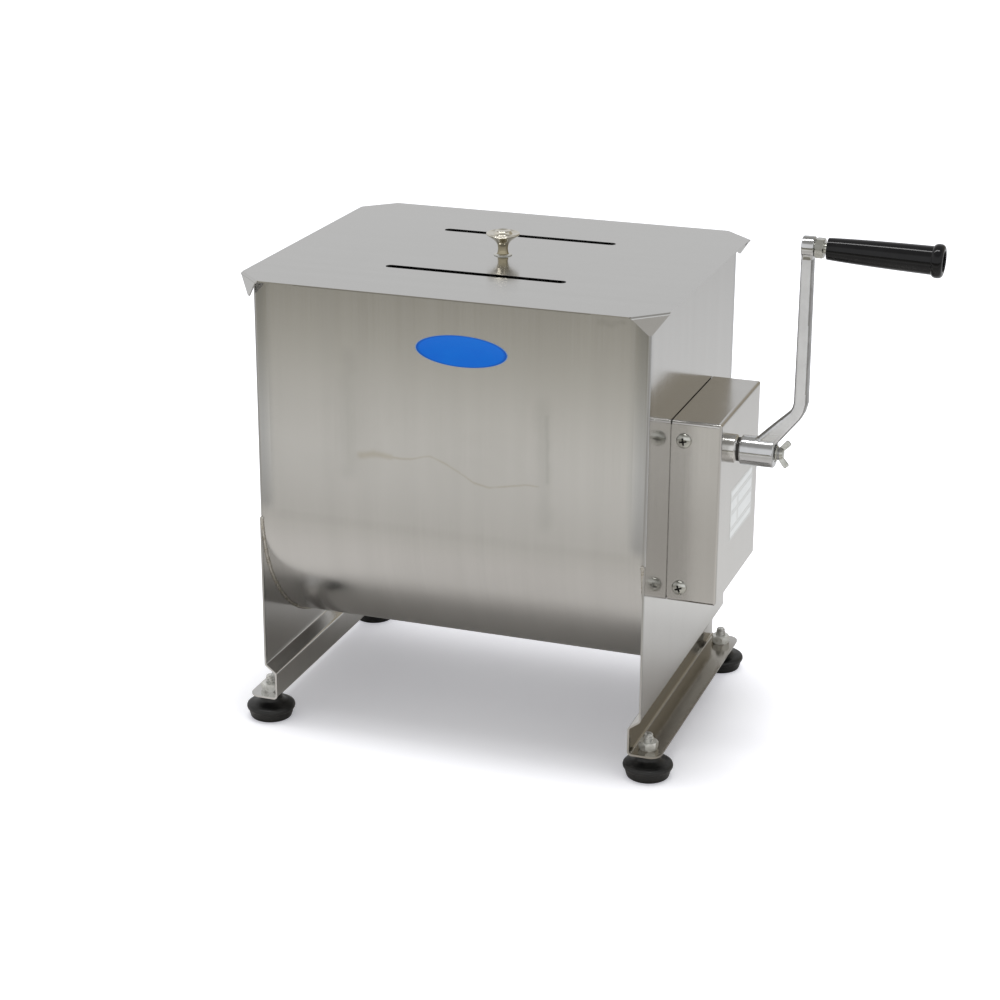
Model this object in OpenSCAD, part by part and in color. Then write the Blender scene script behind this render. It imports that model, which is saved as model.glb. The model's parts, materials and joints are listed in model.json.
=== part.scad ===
// Manual meat mixer: sheet-metal tank on two bent legs, geared hand crank, paddle shaft and loose lid.
// Millimetres. Z is up and the floor is at Z = 0. X runs along the shafts with the crank at +X.
// The front wall faces -Y. The origin is under the middle of the whole machine.

/* [Tank] */
// outside width across the two side plates
tank_w = 320; // [280:1:360]
// outside depth from front wall to back wall
tank_d = 255; // [240:1:280]
// height of the rim above the floor
rim_z = 379; // [360:1:420]
// height of the trough's lowest line above the floor
belly_z = 63; // [60:0.5:70]
// thickness of the tank sheet
sheet = 1.5; // [1:0.1:2]
// width of the side plates' folded flanges on the front and back walls
band_w = 11.5; // [8:0.5:16]

/* [Legs and feet] */
// height where the side plate bends inwards to become a leg
leg_h = 53.5; // [50:0.5:58]
// how far the leg's upright web stands inside the plate
joggle = 9; // [6:0.5:12]
// how far the foot flange reaches outside the plate
flange_reach = 15.5; // [13:0.5:20]
// distance of a foot stud from the front or back edge of the leg
stud_inset = 15.5; // [13:0.5:30]
// height of a rubber foot under the flange
foot_h = 22; // [20:0.5:24]
// largest diameter of a rubber foot
foot_d = 40; // [36:1:44]

/* [Lid] */
// lid overhang past the side plates
lid_over_x = 12; // [11:0.5:16]
// lid overhang past the front and back walls
lid_over_y = 16; // [14:0.5:20]
// thickness of the lid sheet
lid_t = 1; // [0.8:0.1:1.5]
// leg of the corner triangle that is folded down as a locating tab
lid_corner = 24.5; // [20:0.5:25]
// length of each slot in the lid
slot_len = 148; // [100:1:180]
// width of each slot in the lid
slot_w = 8; // [6:0.5:12]
// distance between the two slots
slot_pitch = 130; // [90:1:160]
// diameter of the lid knob
knob_d = 27; // [22:0.5:32]

/* [Gears and cover] */
// gear module
gear_module = 2; // [1.8:0.05:2.1]
// teeth of the crank pinion
pinion_teeth = 18; // [17:1:19]
// teeth of the paddle gear
gear_teeth = 56; // [52:1:57]
// how far the crank axis lies in front of the paddle axis
crank_fwd = 39; // [34:0.5:40]
// depth of the gear cover outside the side plate
cover_depth = 39.8; // [37:0.1:45]

/* [Crank] */
// distance from the crank axis to the grip axis
crank_r = 164.2; // [140:0.1:200]
// diameter of the crank hub
hub_d = 23.2; // [20:0.1:28]
// length of the hand grip
grip_len = 86.2; // [80:0.1:120]
// how far the grip's spindle points downwards, in degrees
grip_droop = 1.5; // [0:0.1:2]

/* [Paddles] */
// gap between the paddle tips and the trough wall
wall_gap = 5; // [4:0.5:10]
// width of a paddle blade
blade_w = 70; // [50:1:76]
// angle between a blade and the shaft
blade_pitch = 35; // [20:1:45]
// diameter of the paddle shaft
shaft_d = 25; // [22:1:28]

/* [Hidden] */
$fn = 72;

steel = [0.72, 0.72, 0.73];
zinc = [0.62, 0.64, 0.66];
polished = [0.8, 0.8, 0.82];
black = [0.06, 0.06, 0.06];
brass_tint = [0.72, 0.6, 0.35];
nickel = [0.78, 0.76, 0.7];

half_d = tank_d / 2;
plate_out = tank_w / 2;
plate_in = plate_out - sheet;
axis_z = belly_z + half_d;
bend_in = 1.5;
bend_out = bend_in + sheet;
band_rise = 8;
band_drop = 10;
plate_low = axis_z - band_drop;

leg_bend = 2;
leg_mid = 2 * leg_bend + sheet;
turn_cos = 0.6;
turn_sin = 0.8;
leg_turn = atan2(turn_sin, turn_cos);
slope_len = (joggle - (1 - turn_cos) * leg_mid) / turn_sin;
bend_1 = [plate_in - leg_bend, leg_h];
bend_2 = bend_1 + leg_mid * [turn_cos, -turn_sin] + slope_len * [-turn_sin, -turn_cos];
web_out = bend_2[0] - leg_bend;
bend_3 = [web_out + leg_bend, foot_h + sheet + leg_bend];
flange_end = plate_out + flange_reach;
flange_corner = 9;
stud_x = plate_out + 2.5;
stud_y = half_d - stud_inset;
stud_r = 4;
stud_top = foot_h + 14.5;
stud_foot = 8;
nut_af = 14;
nut_h = 6.5;
nut_turn = [24, 12, 28, -6];

lid_z = rim_z + lid_t;
lid_hx = plate_out + lid_over_x;
lid_hy = half_d + lid_over_y;
lid_bend = 1;
knob_hole = 2.1;
knob_screw_r = 2;

pressure_angle = 20;
tooth_slack = 0.14;
flank_steps = 4;
pinion_pitch_r = gear_module * pinion_teeth / 2;
gear_pitch_r = gear_module * gear_teeth / 2;
pinion_tip_r = pinion_pitch_r + gear_module;
gear_tip_r = gear_pitch_r + gear_module;
centre_dist = pinion_pitch_r + gear_pitch_r;
crank_y = -crank_fwd;
crank_rise = sqrt(centre_dist * centre_dist - crank_fwd * crank_fwd);
crank_z = axis_z + crank_rise;
mesh_angle = atan2(crank_rise, crank_y);

cover_hw = gear_tip_r + 5;
cover_z0 = axis_z - gear_tip_r - 3;
cover_z1 = crank_z + pinion_tip_r + 5.3;
cover_gap = 0.6;
cover_r = 3;
cover_face = plate_out + cover_depth;
cover_skin = cover_face - sheet;
screw_x = plate_out + 10.3;
screw_low = cover_z0 + 12.2;
screw_high = cover_z1 - 15.5;
bracket_wide = 16;
bracket_leg = 8;

gear_w = 12;
gear_x0 = plate_out + 18;
gear_x1 = gear_x0 + gear_w;
pinion_x0 = gear_x0 - 1;
pinion_x1 = gear_x1 + 1;
run_gap = 0.05;
drive_r = 10;
drive_seat_r = 9;
drive_bush_x1 = plate_out + 10;
drive_end = plate_out + 34;
clip_t = 1.2;
clip_x0 = pinion_x1 + 0.1;
inner_bush_x1 = plate_out + 11;
crank_in_r = 6;
crank_seat_r = 7;

bush_len = 7.7;
bush_end = cover_face + bush_len;
bush_r = 11.3;
hub_x0 = bush_end + 2.6;
hub_len = 27;
hub_x1 = hub_x0 + hub_len;
hub_r = hub_d / 2;
arm_depth = 12;
arm_flat = 2;
arm_slant = 3.2;
arm_x = hub_x1 + 18;
boss_r = 8.2;
boss_x0 = hub_x1 + 13.2;
boss_x1 = boss_x0 + 9.5;
boss_mid = (boss_x0 + boss_x1) / 2;
spindle_r = 4;
spindle_nut_x0 = boss_x1 + 0.6;
grip_x0 = spindle_nut_x0 + nut_h + 2.55;
grip_x1 = grip_x0 + grip_len;
grip_floor = grip_x1 - 6;
grip_end_r = 9.8;
grip_z = crank_z + crank_r;

tip_r = half_d - sheet - wall_gap;
shaft_r = shaft_d / 2;
dog_x0 = plate_in - 30;
dog_x1 = plate_in - 14;
dog_t = 10;
shaft_x0 = -plate_in + 10;
shaft_x1 = dog_x1 - 0.4;
pin_r = 6;
paddle_step = (tank_w - 2 * sheet) / 4 * 0.96;
paddle_x = [for (i = [0:3]) (i - 1.5) * paddle_step];
paddle_angle = [45, 225, 135, 315];
blade_t = 3;
blade_root = 68;

x_high = boss_mid + (grip_x1 - boss_mid) * cos(grip_droop) + grip_end_r * sin(grip_droop);
x_low = -stud_x - foot_d / 2;
tank_x = -(x_high + x_low) / 2;

// puts a piece that is drawn about the tank's middle into the machine's frame
module in_frame() {
  translate([tank_x, 0, 0]) children();
}

// turns a flat outline drawn in Y and Z into a bar along X
module along_x(x0, x1) {
  translate([x0, 0, 0])
  rotate([90, 0, 90])
  linear_extrude(height = x1 - x0)
  children();
}

// turns a flat outline drawn in X and Z into a bar along Y
module along_y(y0, y1) {
  translate([0, y1, 0])
  rotate([90, 0, 0])
  linear_extrude(height = y1 - y0)
  children();
}

// round bar along X
module rod_x(x0, x1, r) {
  translate([x0, 0, 0])
  rotate([0, 90, 0])
  cylinder(r = r, h = x1 - x0);
}

// cone along X
module cone_x(x0, x1, r0, r1) {
  translate([x0, 0, 0])
  rotate([0, 90, 0])
  cylinder(r1 = r0, r2 = r1, h = x1 - x0);
}

// hexagonal bar along X, measured across its flats
module hex_x(x0, x1, flats) {
  translate([x0, 0, 0])
  rotate([0, 90, 0])
  cylinder(r = flats / sqrt(3), h = x1 - x0, $fn = 6);
}

// part of a ring between two angles, under half a turn or exactly half a turn
module sector(r_in, r_out, a0, a1) {
  reach = 2 * r_out;
  mid = (a0 + a1) / 2;
  intersection() {
    difference() {
      circle(r = r_out);
      circle(r = r_in);
    }
    polygon([
      [0, 0],
      reach * [cos(a0), sin(a0)],
      2 * reach * [cos(mid), sin(mid)],
      reach * [cos(a1), sin(a1)]
    ]);
  }
}

// rectangle with rounded corners, from a low corner
module rounded(w, h, r) {
  union() {
    translate([r, 0]) square([w - 2 * r, h]);
    translate([0, r]) square([w, h - 2 * r]);
    for (x = [r, w - r], y = [r, h - r])
      translate([x, y]) circle(r = r);
  }
}

// moves a piece drawn on the X axis to the crank axis or the paddle axis
module on_crank() {
  translate([tank_x, crank_y, crank_z]) children();
}
module on_paddle() {
  translate([tank_x, 0, axis_z]) children();
}

// one folded flange seen from the front
module flange_outline() {
  polygon([
    [plate_out - band_w, axis_z + band_rise],
    [plate_out - bend_out, plate_low],
    [plate_out - bend_out, rim_z],
    [plate_out - band_w, rim_z]
  ]);
}

// the window in the trough wall that a flange fills
module band_window() {
  polygon([
    [plate_out - band_w, axis_z + band_rise],
    [plate_out - bend_out, plate_low],
    [plate_out, plate_low],
    [plate_out, rim_z + 1],
    [plate_out - band_w, rim_z + 1]
  ]);
}

module trough() {
  color(steel)
  in_frame()
  difference() {
    along_x(-plate_in, plate_in)
    union() {
      translate([-half_d, axis_z]) square([sheet, rim_z - axis_z]);
      translate([half_d - sheet, axis_z]) square([sheet, rim_z - axis_z]);
      translate([0, axis_z]) sector(half_d - sheet, half_d, 180, 360);
    }
    for (m = [0, 1]) mirror([m, 0, 0]) {
      along_y(-half_d - 1, -half_d + sheet + 1) band_window();
      along_y(half_d - sheet - 1, half_d + 1) band_window();
    }
  }
}

// the leg seen from the front: upright plate, slope, web and foot flange with their bends
module leg_outline() {
  union() {
    translate([plate_in, leg_h]) square([sheet, plate_low - leg_h]);
    translate(bend_1) sector(leg_bend, leg_bend + sheet, -leg_turn, 0);
    translate(bend_1) rotate(-leg_turn) translate([leg_bend, -slope_len]) square([sheet, slope_len]);
    translate(bend_2) sector(leg_bend, leg_bend + sheet, 180 - leg_turn, 180);
    translate([web_out - sheet, bend_3[1]]) square([sheet, bend_2[1] - bend_3[1]]);
    translate(bend_3) sector(leg_bend, leg_bend + sheet, 180, 270);
    translate([bend_3[0], foot_h]) square([flange_end - bend_3[0], sheet]);
  }
}

// the side plate seen from above with the bends of its two flanges
module plate_plan() {
  union() {
    translate([plate_in, -half_d + bend_out]) square([sheet, tank_d - 2 * bend_out]);
    translate([plate_out - bend_out, half_d - bend_out]) sector(bend_in, bend_out, 0, 90);
    translate([plate_out - bend_out, -half_d + bend_out]) sector(bend_in, bend_out, 270, 360);
  }
}

// cuts the outer front corner of a foot flange to a round corner
module corner_cut() {
  translate([flange_end - flange_corner, -half_d + flange_corner, foot_h - 1])
  difference() {
    translate([0, -flange_corner - 1, 0]) cube([flange_corner + 1, flange_corner + 1, sheet + 2]);
    translate([0, 0, -1]) cylinder(r = flange_corner, h = sheet + 4);
  }
}

// right-hand side plate with its leg; hole_r is the hole on the paddle axis
module side_plate(hole_r) {
  difference() {
    union() {
      along_y(-half_d, half_d) leg_outline();
      translate([0, 0, plate_low]) linear_extrude(height = rim_z - plate_low) plate_plan();
      along_y(-half_d, -half_d + sheet) flange_outline();
      along_y(half_d - sheet, half_d) flange_outline();
    }
    translate([0, 0, axis_z]) rod_x(plate_in - 1, plate_out + 1, hole_r);
    for (m = [0, 1]) mirror([0, m, 0]) {
      corner_cut();
      translate([stud_x, -stud_y, foot_h - 1]) cylinder(r = stud_r + 0.3, h = sheet + 2);
    }
  }
}

module left_side_plate() {
  color(steel)
  in_frame()
  mirror([1, 0, 0])
  side_plate(12);
}

module right_side_plate() {
  color(steel)
  in_frame()
  side_plate(17);
}

// block with rounded edges all round except on the side that meets the plate
module cover_block(half_w, z0, z1, x0, x1, r) {
  intersection() {
    translate([0, 0, z0 - 1])
    linear_extrude(height = z1 - z0 + 2)
    translate([x0 - r, -half_w]) rounded(x1 - x0 + r, 2 * half_w, r);
    along_y(-half_w - 1, half_w + 1)
    translate([x0 - r, z0]) rounded(x1 - x0 + r, z1 - z0, r);
    along_x(x0, x1 + 1)
    translate([-half_w, z0]) rounded(2 * half_w, z1 - z0, r);
  }
}

module gear_cover() {
  color(steel)
  in_frame()
  difference() {
    cover_block(cover_hw, cover_z0, cover_z1, plate_out + cover_gap, cover_face, cover_r);
    cover_block(cover_hw - sheet, cover_z0 + sheet, cover_z1 - sheet,
      plate_out - 1, cover_skin, cover_r - sheet);
    translate([0, crank_y, crank_z]) rod_x(cover_skin - 1, cover_face + 1, bush_r);
    for (z = [screw_low, screw_high])
      translate([screw_x, cover_hw + 1, z]) rotate([90, 0, 0]) cylinder(r = 3.2, h = 2 * cover_hw + 2);
  }
}

// angle welded on the side plate, drawn for the front; the cover's screws go into it
module cover_bracket() {
  wall_y = -cover_hw + sheet;
  low = cover_z0 + sheet + 2;
  high = cover_z1 - sheet - 2;
  difference() {
    union() {
      translate([plate_out, wall_y, low]) cube([sheet, bracket_leg, high - low]);
      translate([plate_out, wall_y, low]) cube([bracket_wide, sheet, high - low]);
    }
    for (z = [screw_low, screw_high])
      translate([screw_x, wall_y + sheet + 1, z]) rotate([90, 0, 0]) cylinder(r = 3, h = sheet + 2);
  }
}

module cover_bracket_front() {
  color(steel)
  in_frame()
  cover_bracket();
}

module cover_bracket_rear() {
  color(steel)
  in_frame()
  mirror([0, 1, 0])
  cover_bracket();
}

// weld nuts behind the brackets
module bracket_nuts() {
  color(zinc)
  in_frame()
  for (m = [0, 1], z = [screw_low, screw_high])
    mirror([0, m, 0])
    translate([screw_x, -cover_hw + 2 * sheet + 5, z])
    rotate([90, 0, 0])
    difference() {
      cylinder(r = 10 / sqrt(3), h = 5, $fn = 6);
      translate([0, 0, -1]) cylinder(r = 3, h = 7);
    }
}

// pan-head screws that hold the cover, two in front and two behind
module cover_screws() {
  head_r = 6;
  head_h = 3.6;
  color(zinc)
  in_frame()
  for (m = [0, 1], z = [screw_low, screw_high])
    mirror([0, m, 0])
    translate([screw_x, -cover_hw, z])
    rotate([90, 0, 0])
    difference() {
      union() {
        intersection() {
          cylinder(r = head_r, h = head_h);
          translate([0, 0, head_h - 8]) sphere(r = 8);
        }
        translate([0, 0, -9]) cylinder(r = 2.95, h = 9);
      }
      for (a = [0, 90])
        rotate([0, 0, a + 30]) translate([-3.2, -0.6, head_h - 1.8]) cube([6.4, 1.2, 3]);
    }
}

module crank_bush() {
  color(polished)
  on_crank()
  difference() {
    union() {
      rod_x(cover_skin - 3, cover_skin, 15);
      rod_x(cover_skin, bush_end - 1.4, bush_r);
      cone_x(bush_end - 1.4, bush_end, bush_r, bush_r - 1.4);
    }
    rod_x(cover_skin - 4, bush_end + 1, crank_seat_r + run_gap);
  }
}

module inner_bush() {
  color(brass_tint)
  on_crank()
  difference() {
    rod_x(plate_out, inner_bush_x1, 13);
    rod_x(plate_out + 1.4, inner_bush_x1 + 1, crank_in_r + run_gap);
  }
}

module drive_bush() {
  color(brass_tint)
  on_paddle()
  difference() {
    union() {
      rod_x(plate_in - 4.5, plate_out, 17);
      rod_x(plate_out, plate_out + 4, 26);
      rod_x(plate_out + 4, drive_bush_x1, 17);
    }
    rod_x(plate_in - 6, drive_bush_x1 + 1, drive_r + run_gap);
  }
}

module shaft_seal() {
  color(black)
  on_paddle()
  difference() {
    union() {
      rod_x(plate_in - 8, plate_in - 4.5, 16);
      cone_x(plate_in - 10, plate_in - 8, 13, 16);
    }
    rod_x(plate_in - 11, plate_in - 4, drive_r + run_gap);
  }
}

module left_bush() {
  color(polished)
  on_paddle()
  difference() {
    union() {
      rod_x(-plate_out - 5, -plate_out, 17);
      rod_x(-plate_out, -plate_in + 5, 12);
    }
    rod_x(-plate_out - 6, -plate_in + 6, pin_r);
  }
}

// bolt that carries the left end of the paddle shaft and comes out to free the paddles
module pivot_bolt() {
  color(zinc)
  on_paddle()
  union() {
    hex_x(-plate_out - 12.5, -plate_out - 5, 19);
    rod_x(-plate_out - 5, shaft_x0 + 24, pin_r);
  }
}

module foot_at(x, y) {
  translate([tank_x + x, y, 0]) children();
}

module each_foot() {
  for (x = [-stud_x, stud_x], y = [-stud_y, stud_y])
    foot_at(x, y) children();
}

module foot_studs() {
  color(zinc)
  each_foot()
  union() {
    translate([0, 0, stud_foot]) cylinder(r = stud_r, h = stud_top - stud_foot - 0.8);
    translate([0, 0, stud_top - 0.8]) cylinder(r1 = stud_r, r2 = stud_r - 0.8, h = 0.8);
  }
}

// foot nuts, each left at its own angle by the spanner
module foot_nuts() {
  color(zinc)
  for (i = [0, 1], j = [0, 1])
    foot_at((2 * i - 1) * stud_x, (2 * j - 1) * stud_y)
    translate([0, 0, foot_h + sheet])
    rotate([0, 0, nut_turn[2 * i + j]])
    difference() {
      intersection() {
        cylinder(r = nut_af / sqrt(3), h = nut_h, $fn = 6);
        cylinder(r1 = nut_af / 2 + 0.1, r2 = nut_af / 2 + 3, h = nut_h);
        cylinder(r1 = nut_af / 2 + 5, r2 = nut_af / 2 - 0.1, h = nut_h + 0.1);
      }
      translate([0, 0, -1]) cylinder(r = stud_r, h = nut_h + 2);
    }
}

// rubber foot: a puck that widens to a rounded lip, a sloping top and a neck under the flange
module rubber_foot() {
  r = foot_d / 2;
  color(black)
  difference() {
    rotate_extrude()
    polygon([
      [0, 0], [r - 5.2, 0], [r - 3.6, 0.6], [r - 2.8, 2], [r - 1.5, 6.8], [r - 0.6, foot_h - 14.2],
      [r, foot_h - 13], [r, foot_h - 11.8], [r - 0.7, foot_h - 10.5], [r - 2.6, foot_h - 9.6],
      [r - 6.4, foot_h - 8.6], [r - 9.4, foot_h - 7], [r - 10.6, foot_h - 5], [r - 10.8, foot_h],
      [0, foot_h]
    ]);
    translate([0, 0, stud_foot]) cylinder(r = stud_r, h = foot_h);
  }
}

module foot_front_left() {
  foot_at(-stud_x, -stud_y) rubber_foot();
}
module foot_front_right() {
  foot_at(stud_x, -stud_y) rubber_foot();
}
module foot_rear_left() {
  foot_at(-stud_x, stud_y) rubber_foot();
}
module foot_rear_right() {
  foot_at(stud_x, stud_y) rubber_foot();
}

// keyway or key on the upper side of a shaft; reach is measured from the shaft axis
module key_block(x0, x1, wide, low, high) {
  translate([x0, -wide / 2, low]) cube([x1 - x0, wide, high - low]);
}

// shaft through the side plate with a flat tongue inside the tank that drives the paddle shaft
module drive_shaft() {
  color(polished)
  on_paddle()
  difference() {
    union() {
      rod_x(dog_x1, plate_in - 10.4, 15);
      rod_x(plate_in - 10.4, drive_bush_x1, drive_r);
      rod_x(drive_bush_x1, drive_end, drive_seat_r);
      intersection() {
        rod_x(dog_x0, dog_x1, 11);
        translate([dog_x0, -dog_t / 2, -12]) cube([dog_x1 - dog_x0, dog_t, 24]);
      }
    }
    key_block(gear_x0 - 4, gear_x1, 6, drive_seat_r - 3, drive_seat_r + 1);
  }
}

function inv(a) = tan(a) * 180 / PI - a;
function polar(r, a) = [r * cos(a), r * sin(a)];

// half of a tooth's angle at radius r, with the play taken off
function tooth_half(r, teeth, base_r, pitch_r) =
  90 / teeth + inv(pressure_angle) - inv(acos(min(1, base_r / max(r, base_r))))
  - tooth_slack / 2 / pitch_r * 180 / PI;

// involute gear seen along its shaft, with one tooth on the first axis
module gear_outline(teeth) {
  pitch_r = gear_module * teeth / 2;
  base_r = pitch_r * cos(pressure_angle);
  tip = pitch_r + gear_module;
  root = pitch_r - 1.25 * gear_module;
  start = max(base_r, root);
  flank = [for (k = [0:flank_steps]) start + (tip - start) * k / flank_steps];
  radii = root < base_r ? concat([root], flank) : flank;
  last = len(radii) - 1;
  polygon([
    for (i = [0:teeth - 1]) each concat(
      [for (k = [0:last]) polar(radii[k], 360 * i / teeth - tooth_half(radii[k], teeth, base_r, pitch_r))],
      [for (k = [last:-1:0]) polar(radii[k], 360 * i / teeth + tooth_half(radii[k], teeth, base_r, pitch_r))]
    )
  ]);
}

module drive_gear() {
  color(zinc)
  on_paddle()
  difference() {
    union() {
      along_x(gear_x0, gear_x1) rotate(mesh_angle) gear_outline(gear_teeth);
      rod_x(drive_bush_x1 + 0.5, gear_x1 + 1, 16);
    }
    rod_x(drive_bush_x1, gear_x1 + 2, drive_seat_r);
    key_block(drive_bush_x1, gear_x1 + 2, 6, 0, drive_seat_r + 3);
    for (i = [0:4])
      rotate([72 * i, 0, 0]) translate([0, 0, gear_pitch_r * 0.6]) rod_x(gear_x0 - 1, gear_x1 + 1, 11);
    difference() {
      rod_x(gear_x1 - 3, gear_x1 + 1, gear_pitch_r - 7);
      rod_x(gear_x1 - 4, gear_x1 + 2, 17.5);
    }
  }
}

module drive_key() {
  color(zinc)
  on_paddle()
  key_block(gear_x0 - 4, gear_x1, 6, drive_seat_r - 3, drive_seat_r + 3);
}

// open spring ring on a shaft
module circlip(r) {
  difference() {
    rod_x(clip_x0, clip_x0 + clip_t, r + 3.2);
    rod_x(clip_x0 - 1, clip_x0 + clip_t + 1, r);
    translate([clip_x0 - 1, -1.6, -r - 5]) cube([clip_t + 2, 3.2, r + 5]);
  }
}

module gear_circlip() {
  color(zinc)
  on_paddle()
  circlip(drive_seat_r);
}

module paddle_shaft() {
  color(steel)
  on_paddle()
  difference() {
    union() {
      rod_x(shaft_x0, dog_x0 - 6, shaft_r);
      rod_x(dog_x0 - 6, shaft_x1, 15);
    }
    rod_x(shaft_x0 - 1, shaft_x0 + 26, pin_r + run_gap);
    translate([dog_x0 - 1, -dog_t / 2 - 0.1, -16]) cube([dog_x1 - dog_x0 + 2, dog_t + 0.2, 32]);
  }
}

// one paddle: round arm welded on the shaft and a flat blade set at an angle
module paddle(i) {
  color(steel)
  on_paddle()
  translate([paddle_x[i], 0, 0])
  rotate([paddle_angle[i] - 90, 0, 0])
  intersection() {
    rod_x(-blade_w, blade_w, tip_r);
    difference() {
      union() {
        cylinder(r = 6, h = tip_r - 26);
        rotate([0, 0, i % 2 == 0 ? blade_pitch : -blade_pitch])
        translate([-blade_w / 2, -blade_t / 2 - 6, 0])
        translate([0, blade_t, blade_root])
        rotate([90, 0, 0])
        linear_extrude(height = blade_t)
        rounded(blade_w, tip_r - blade_root + 20, 9);
      }
      rod_x(-blade_w, blade_w, shaft_r);
    }
  }
}

module paddle_1() {
  paddle(0);
}
module paddle_2() {
  paddle(1);
}
module paddle_3() {
  paddle(2);
}
module paddle_4() {
  paddle(3);
}

module crank_shaft() {
  color(polished)
  on_crank()
  difference() {
    union() {
      rod_x(plate_out + 1.8, inner_bush_x1 + 0.4, crank_in_r);
      rod_x(inner_bush_x1 + 0.4, pinion_x0, 9);
      rod_x(pinion_x0, hub_x1 - 0.5, crank_seat_r);
    }
    key_block(pinion_x0 + 1, pinion_x1 - 1, 5, crank_seat_r - 2.5, crank_seat_r + 1);
    translate([hub_x0, -10, 5]) cube([hub_len, 20, 10]);
    rod_x(hub_x1 - 14, hub_x1, 3);
  }
}

module pinion_gear() {
  color(zinc)
  on_crank()
  difference() {
    along_x(pinion_x0, pinion_x1) rotate(mesh_angle + 180 + 180 / pinion_teeth) gear_outline(pinion_teeth);
    rod_x(pinion_x0 - 1, pinion_x1 + 1, crank_seat_r);
    key_block(pinion_x0 - 1, pinion_x1 + 1, 5, 0, crank_seat_r + 2.5);
  }
}

module pinion_key() {
  color(zinc)
  on_crank()
  key_block(pinion_x0 + 1, pinion_x1 - 1, 5, crank_seat_r - 2.5, crank_seat_r + 2.5);
}

module pinion_circlip() {
  color(zinc)
  on_crank()
  circlip(crank_seat_r);
}

module crank_washer() {
  color(zinc)
  on_crank()
  difference() {
    rod_x(bush_end + 0.4, hub_x0, 9.4);
    rod_x(bush_end - 1, hub_x0 + 1, crank_seat_r + 0.1);
  }
}

// one eight-sided section of the arm at a height over the crank axis, leaning out from upright
module arm_section(x, z, lean, half_w) {
  half_d = arm_depth / 2;
  translate([x, 0, z])
  rotate([0, lean, 0])
  linear_extrude(height = 0.05)
  polygon([
    [half_w, half_d - arm_slant], [half_w - arm_flat, half_d],
    [arm_flat - half_w, half_d], [-half_w, half_d - arm_slant],
    [-half_w, arm_slant - half_d], [arm_flat - half_w, -half_d],
    [half_w - arm_flat, -half_d], [half_w, arm_slant - half_d]
  ]);
}

// the arm leaves the hub outwards and upwards, turns in two steps and runs straight up to the boss
module arm_bar() {
  union() {
    hull() {
      arm_section(hub_x1 - 14, 2, 43, 7.4);
      arm_section(arm_x - 3.4, 33, 34, 4.9);
    }
    hull() {
      arm_section(arm_x - 3.4, 33, 34, 4.9);
      arm_section(arm_x, 42, 4, 5.2);
    }
    hull() {
      arm_section(arm_x, 42, 4, 5.2);
      arm_section(arm_x - 0.4, crank_r - 3, 0, 4.4);
    }
  }
}

// turns a piece drawn on the X axis about the boss, as the spindle sits in it
module along_grip() {
  translate([boss_mid, 0, 0])
  rotate([0, grip_droop, 0])
  translate([-boss_mid, 0, 0])
  children();
}

module crank_arm() {
  color(polished)
  on_crank()
  difference() {
    union() {
      cone_x(hub_x0, hub_x0 + 1, hub_r - 1, hub_r);
      rod_x(hub_x0 + 1, hub_x1 - 1.5, hub_r);
      cone_x(hub_x1 - 1.5, hub_x1, hub_r, hub_r - 1.5);
      arm_bar();
      translate([0, 0, crank_r]) rod_x(boss_x0, boss_x1, boss_r);
    }
    intersection() {
      rod_x(hub_x0 - 1, hub_x1 + 1, crank_seat_r + 0.05);
      translate([hub_x0 - 2, -10, -10]) cube([hub_len + 4, 20, 15.05]);
    }
    translate([0, 0, crank_r]) along_grip() rod_x(boss_x0 - 1, boss_x1 + 1, spindle_r);
  }
}

// screw with two wings that clamps the crank on its shaft
module wing_screw() {
  color(zinc)
  on_crank()
  union() {
    rod_x(hub_x1 - 13, hub_x1 + 0.1, 2.95);
    rod_x(hub_x1 + 0.1, hub_x1 + 1.7, 6);
    cone_x(hub_x1 + 1.7, hub_x1 + 6, 5, 3.8);
    rotate([-22, 0, 0])
    for (m = [0, 1])
      mirror([0, 0, m])
      along_y(-1.4, 1.4)
      translate([hub_x1 + 2.6, 1.5])
      rotate(48)
      polygon([[0, -1.9], [8.6, -3], [10.8, -2], [11.4, 0.6], [10.2, 2.7], [8, 3], [0, 1.9]]);
  }
}

module on_grip() {
  translate([tank_x, crank_y, grip_z]) along_grip() children();
}

// shoulder bolt that the grip turns on, screwed into the arm
module grip_spindle() {
  color(zinc)
  on_grip()
  union() {
    rod_x(boss_x0 + 0.5, grip_floor + 0.3, spindle_r);
    rod_x(grip_floor + 0.3, grip_floor + 3.6, 6.4);
  }
}

module grip_nut() {
  color(zinc)
  on_grip()
  difference() {
    intersection() {
      rotate([30, 0, 0]) hex_x(spindle_nut_x0, spindle_nut_x0 + nut_h, nut_af);
      union() {
        cone_x(spindle_nut_x0, spindle_nut_x0 + 1, nut_af / 2 + 0.1, nut_af / 2 + 1.2);
        rod_x(spindle_nut_x0 + 1, spindle_nut_x0 + nut_h - 1, nut_af / 2 + 1.2);
        cone_x(spindle_nut_x0 + nut_h - 1, spindle_nut_x0 + nut_h, nut_af / 2 + 1.2, nut_af / 2 + 0.1);
      }
    }
    rod_x(spindle_nut_x0 - 1, spindle_nut_x0 + nut_h + 1, spindle_r);
  }
}

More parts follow.
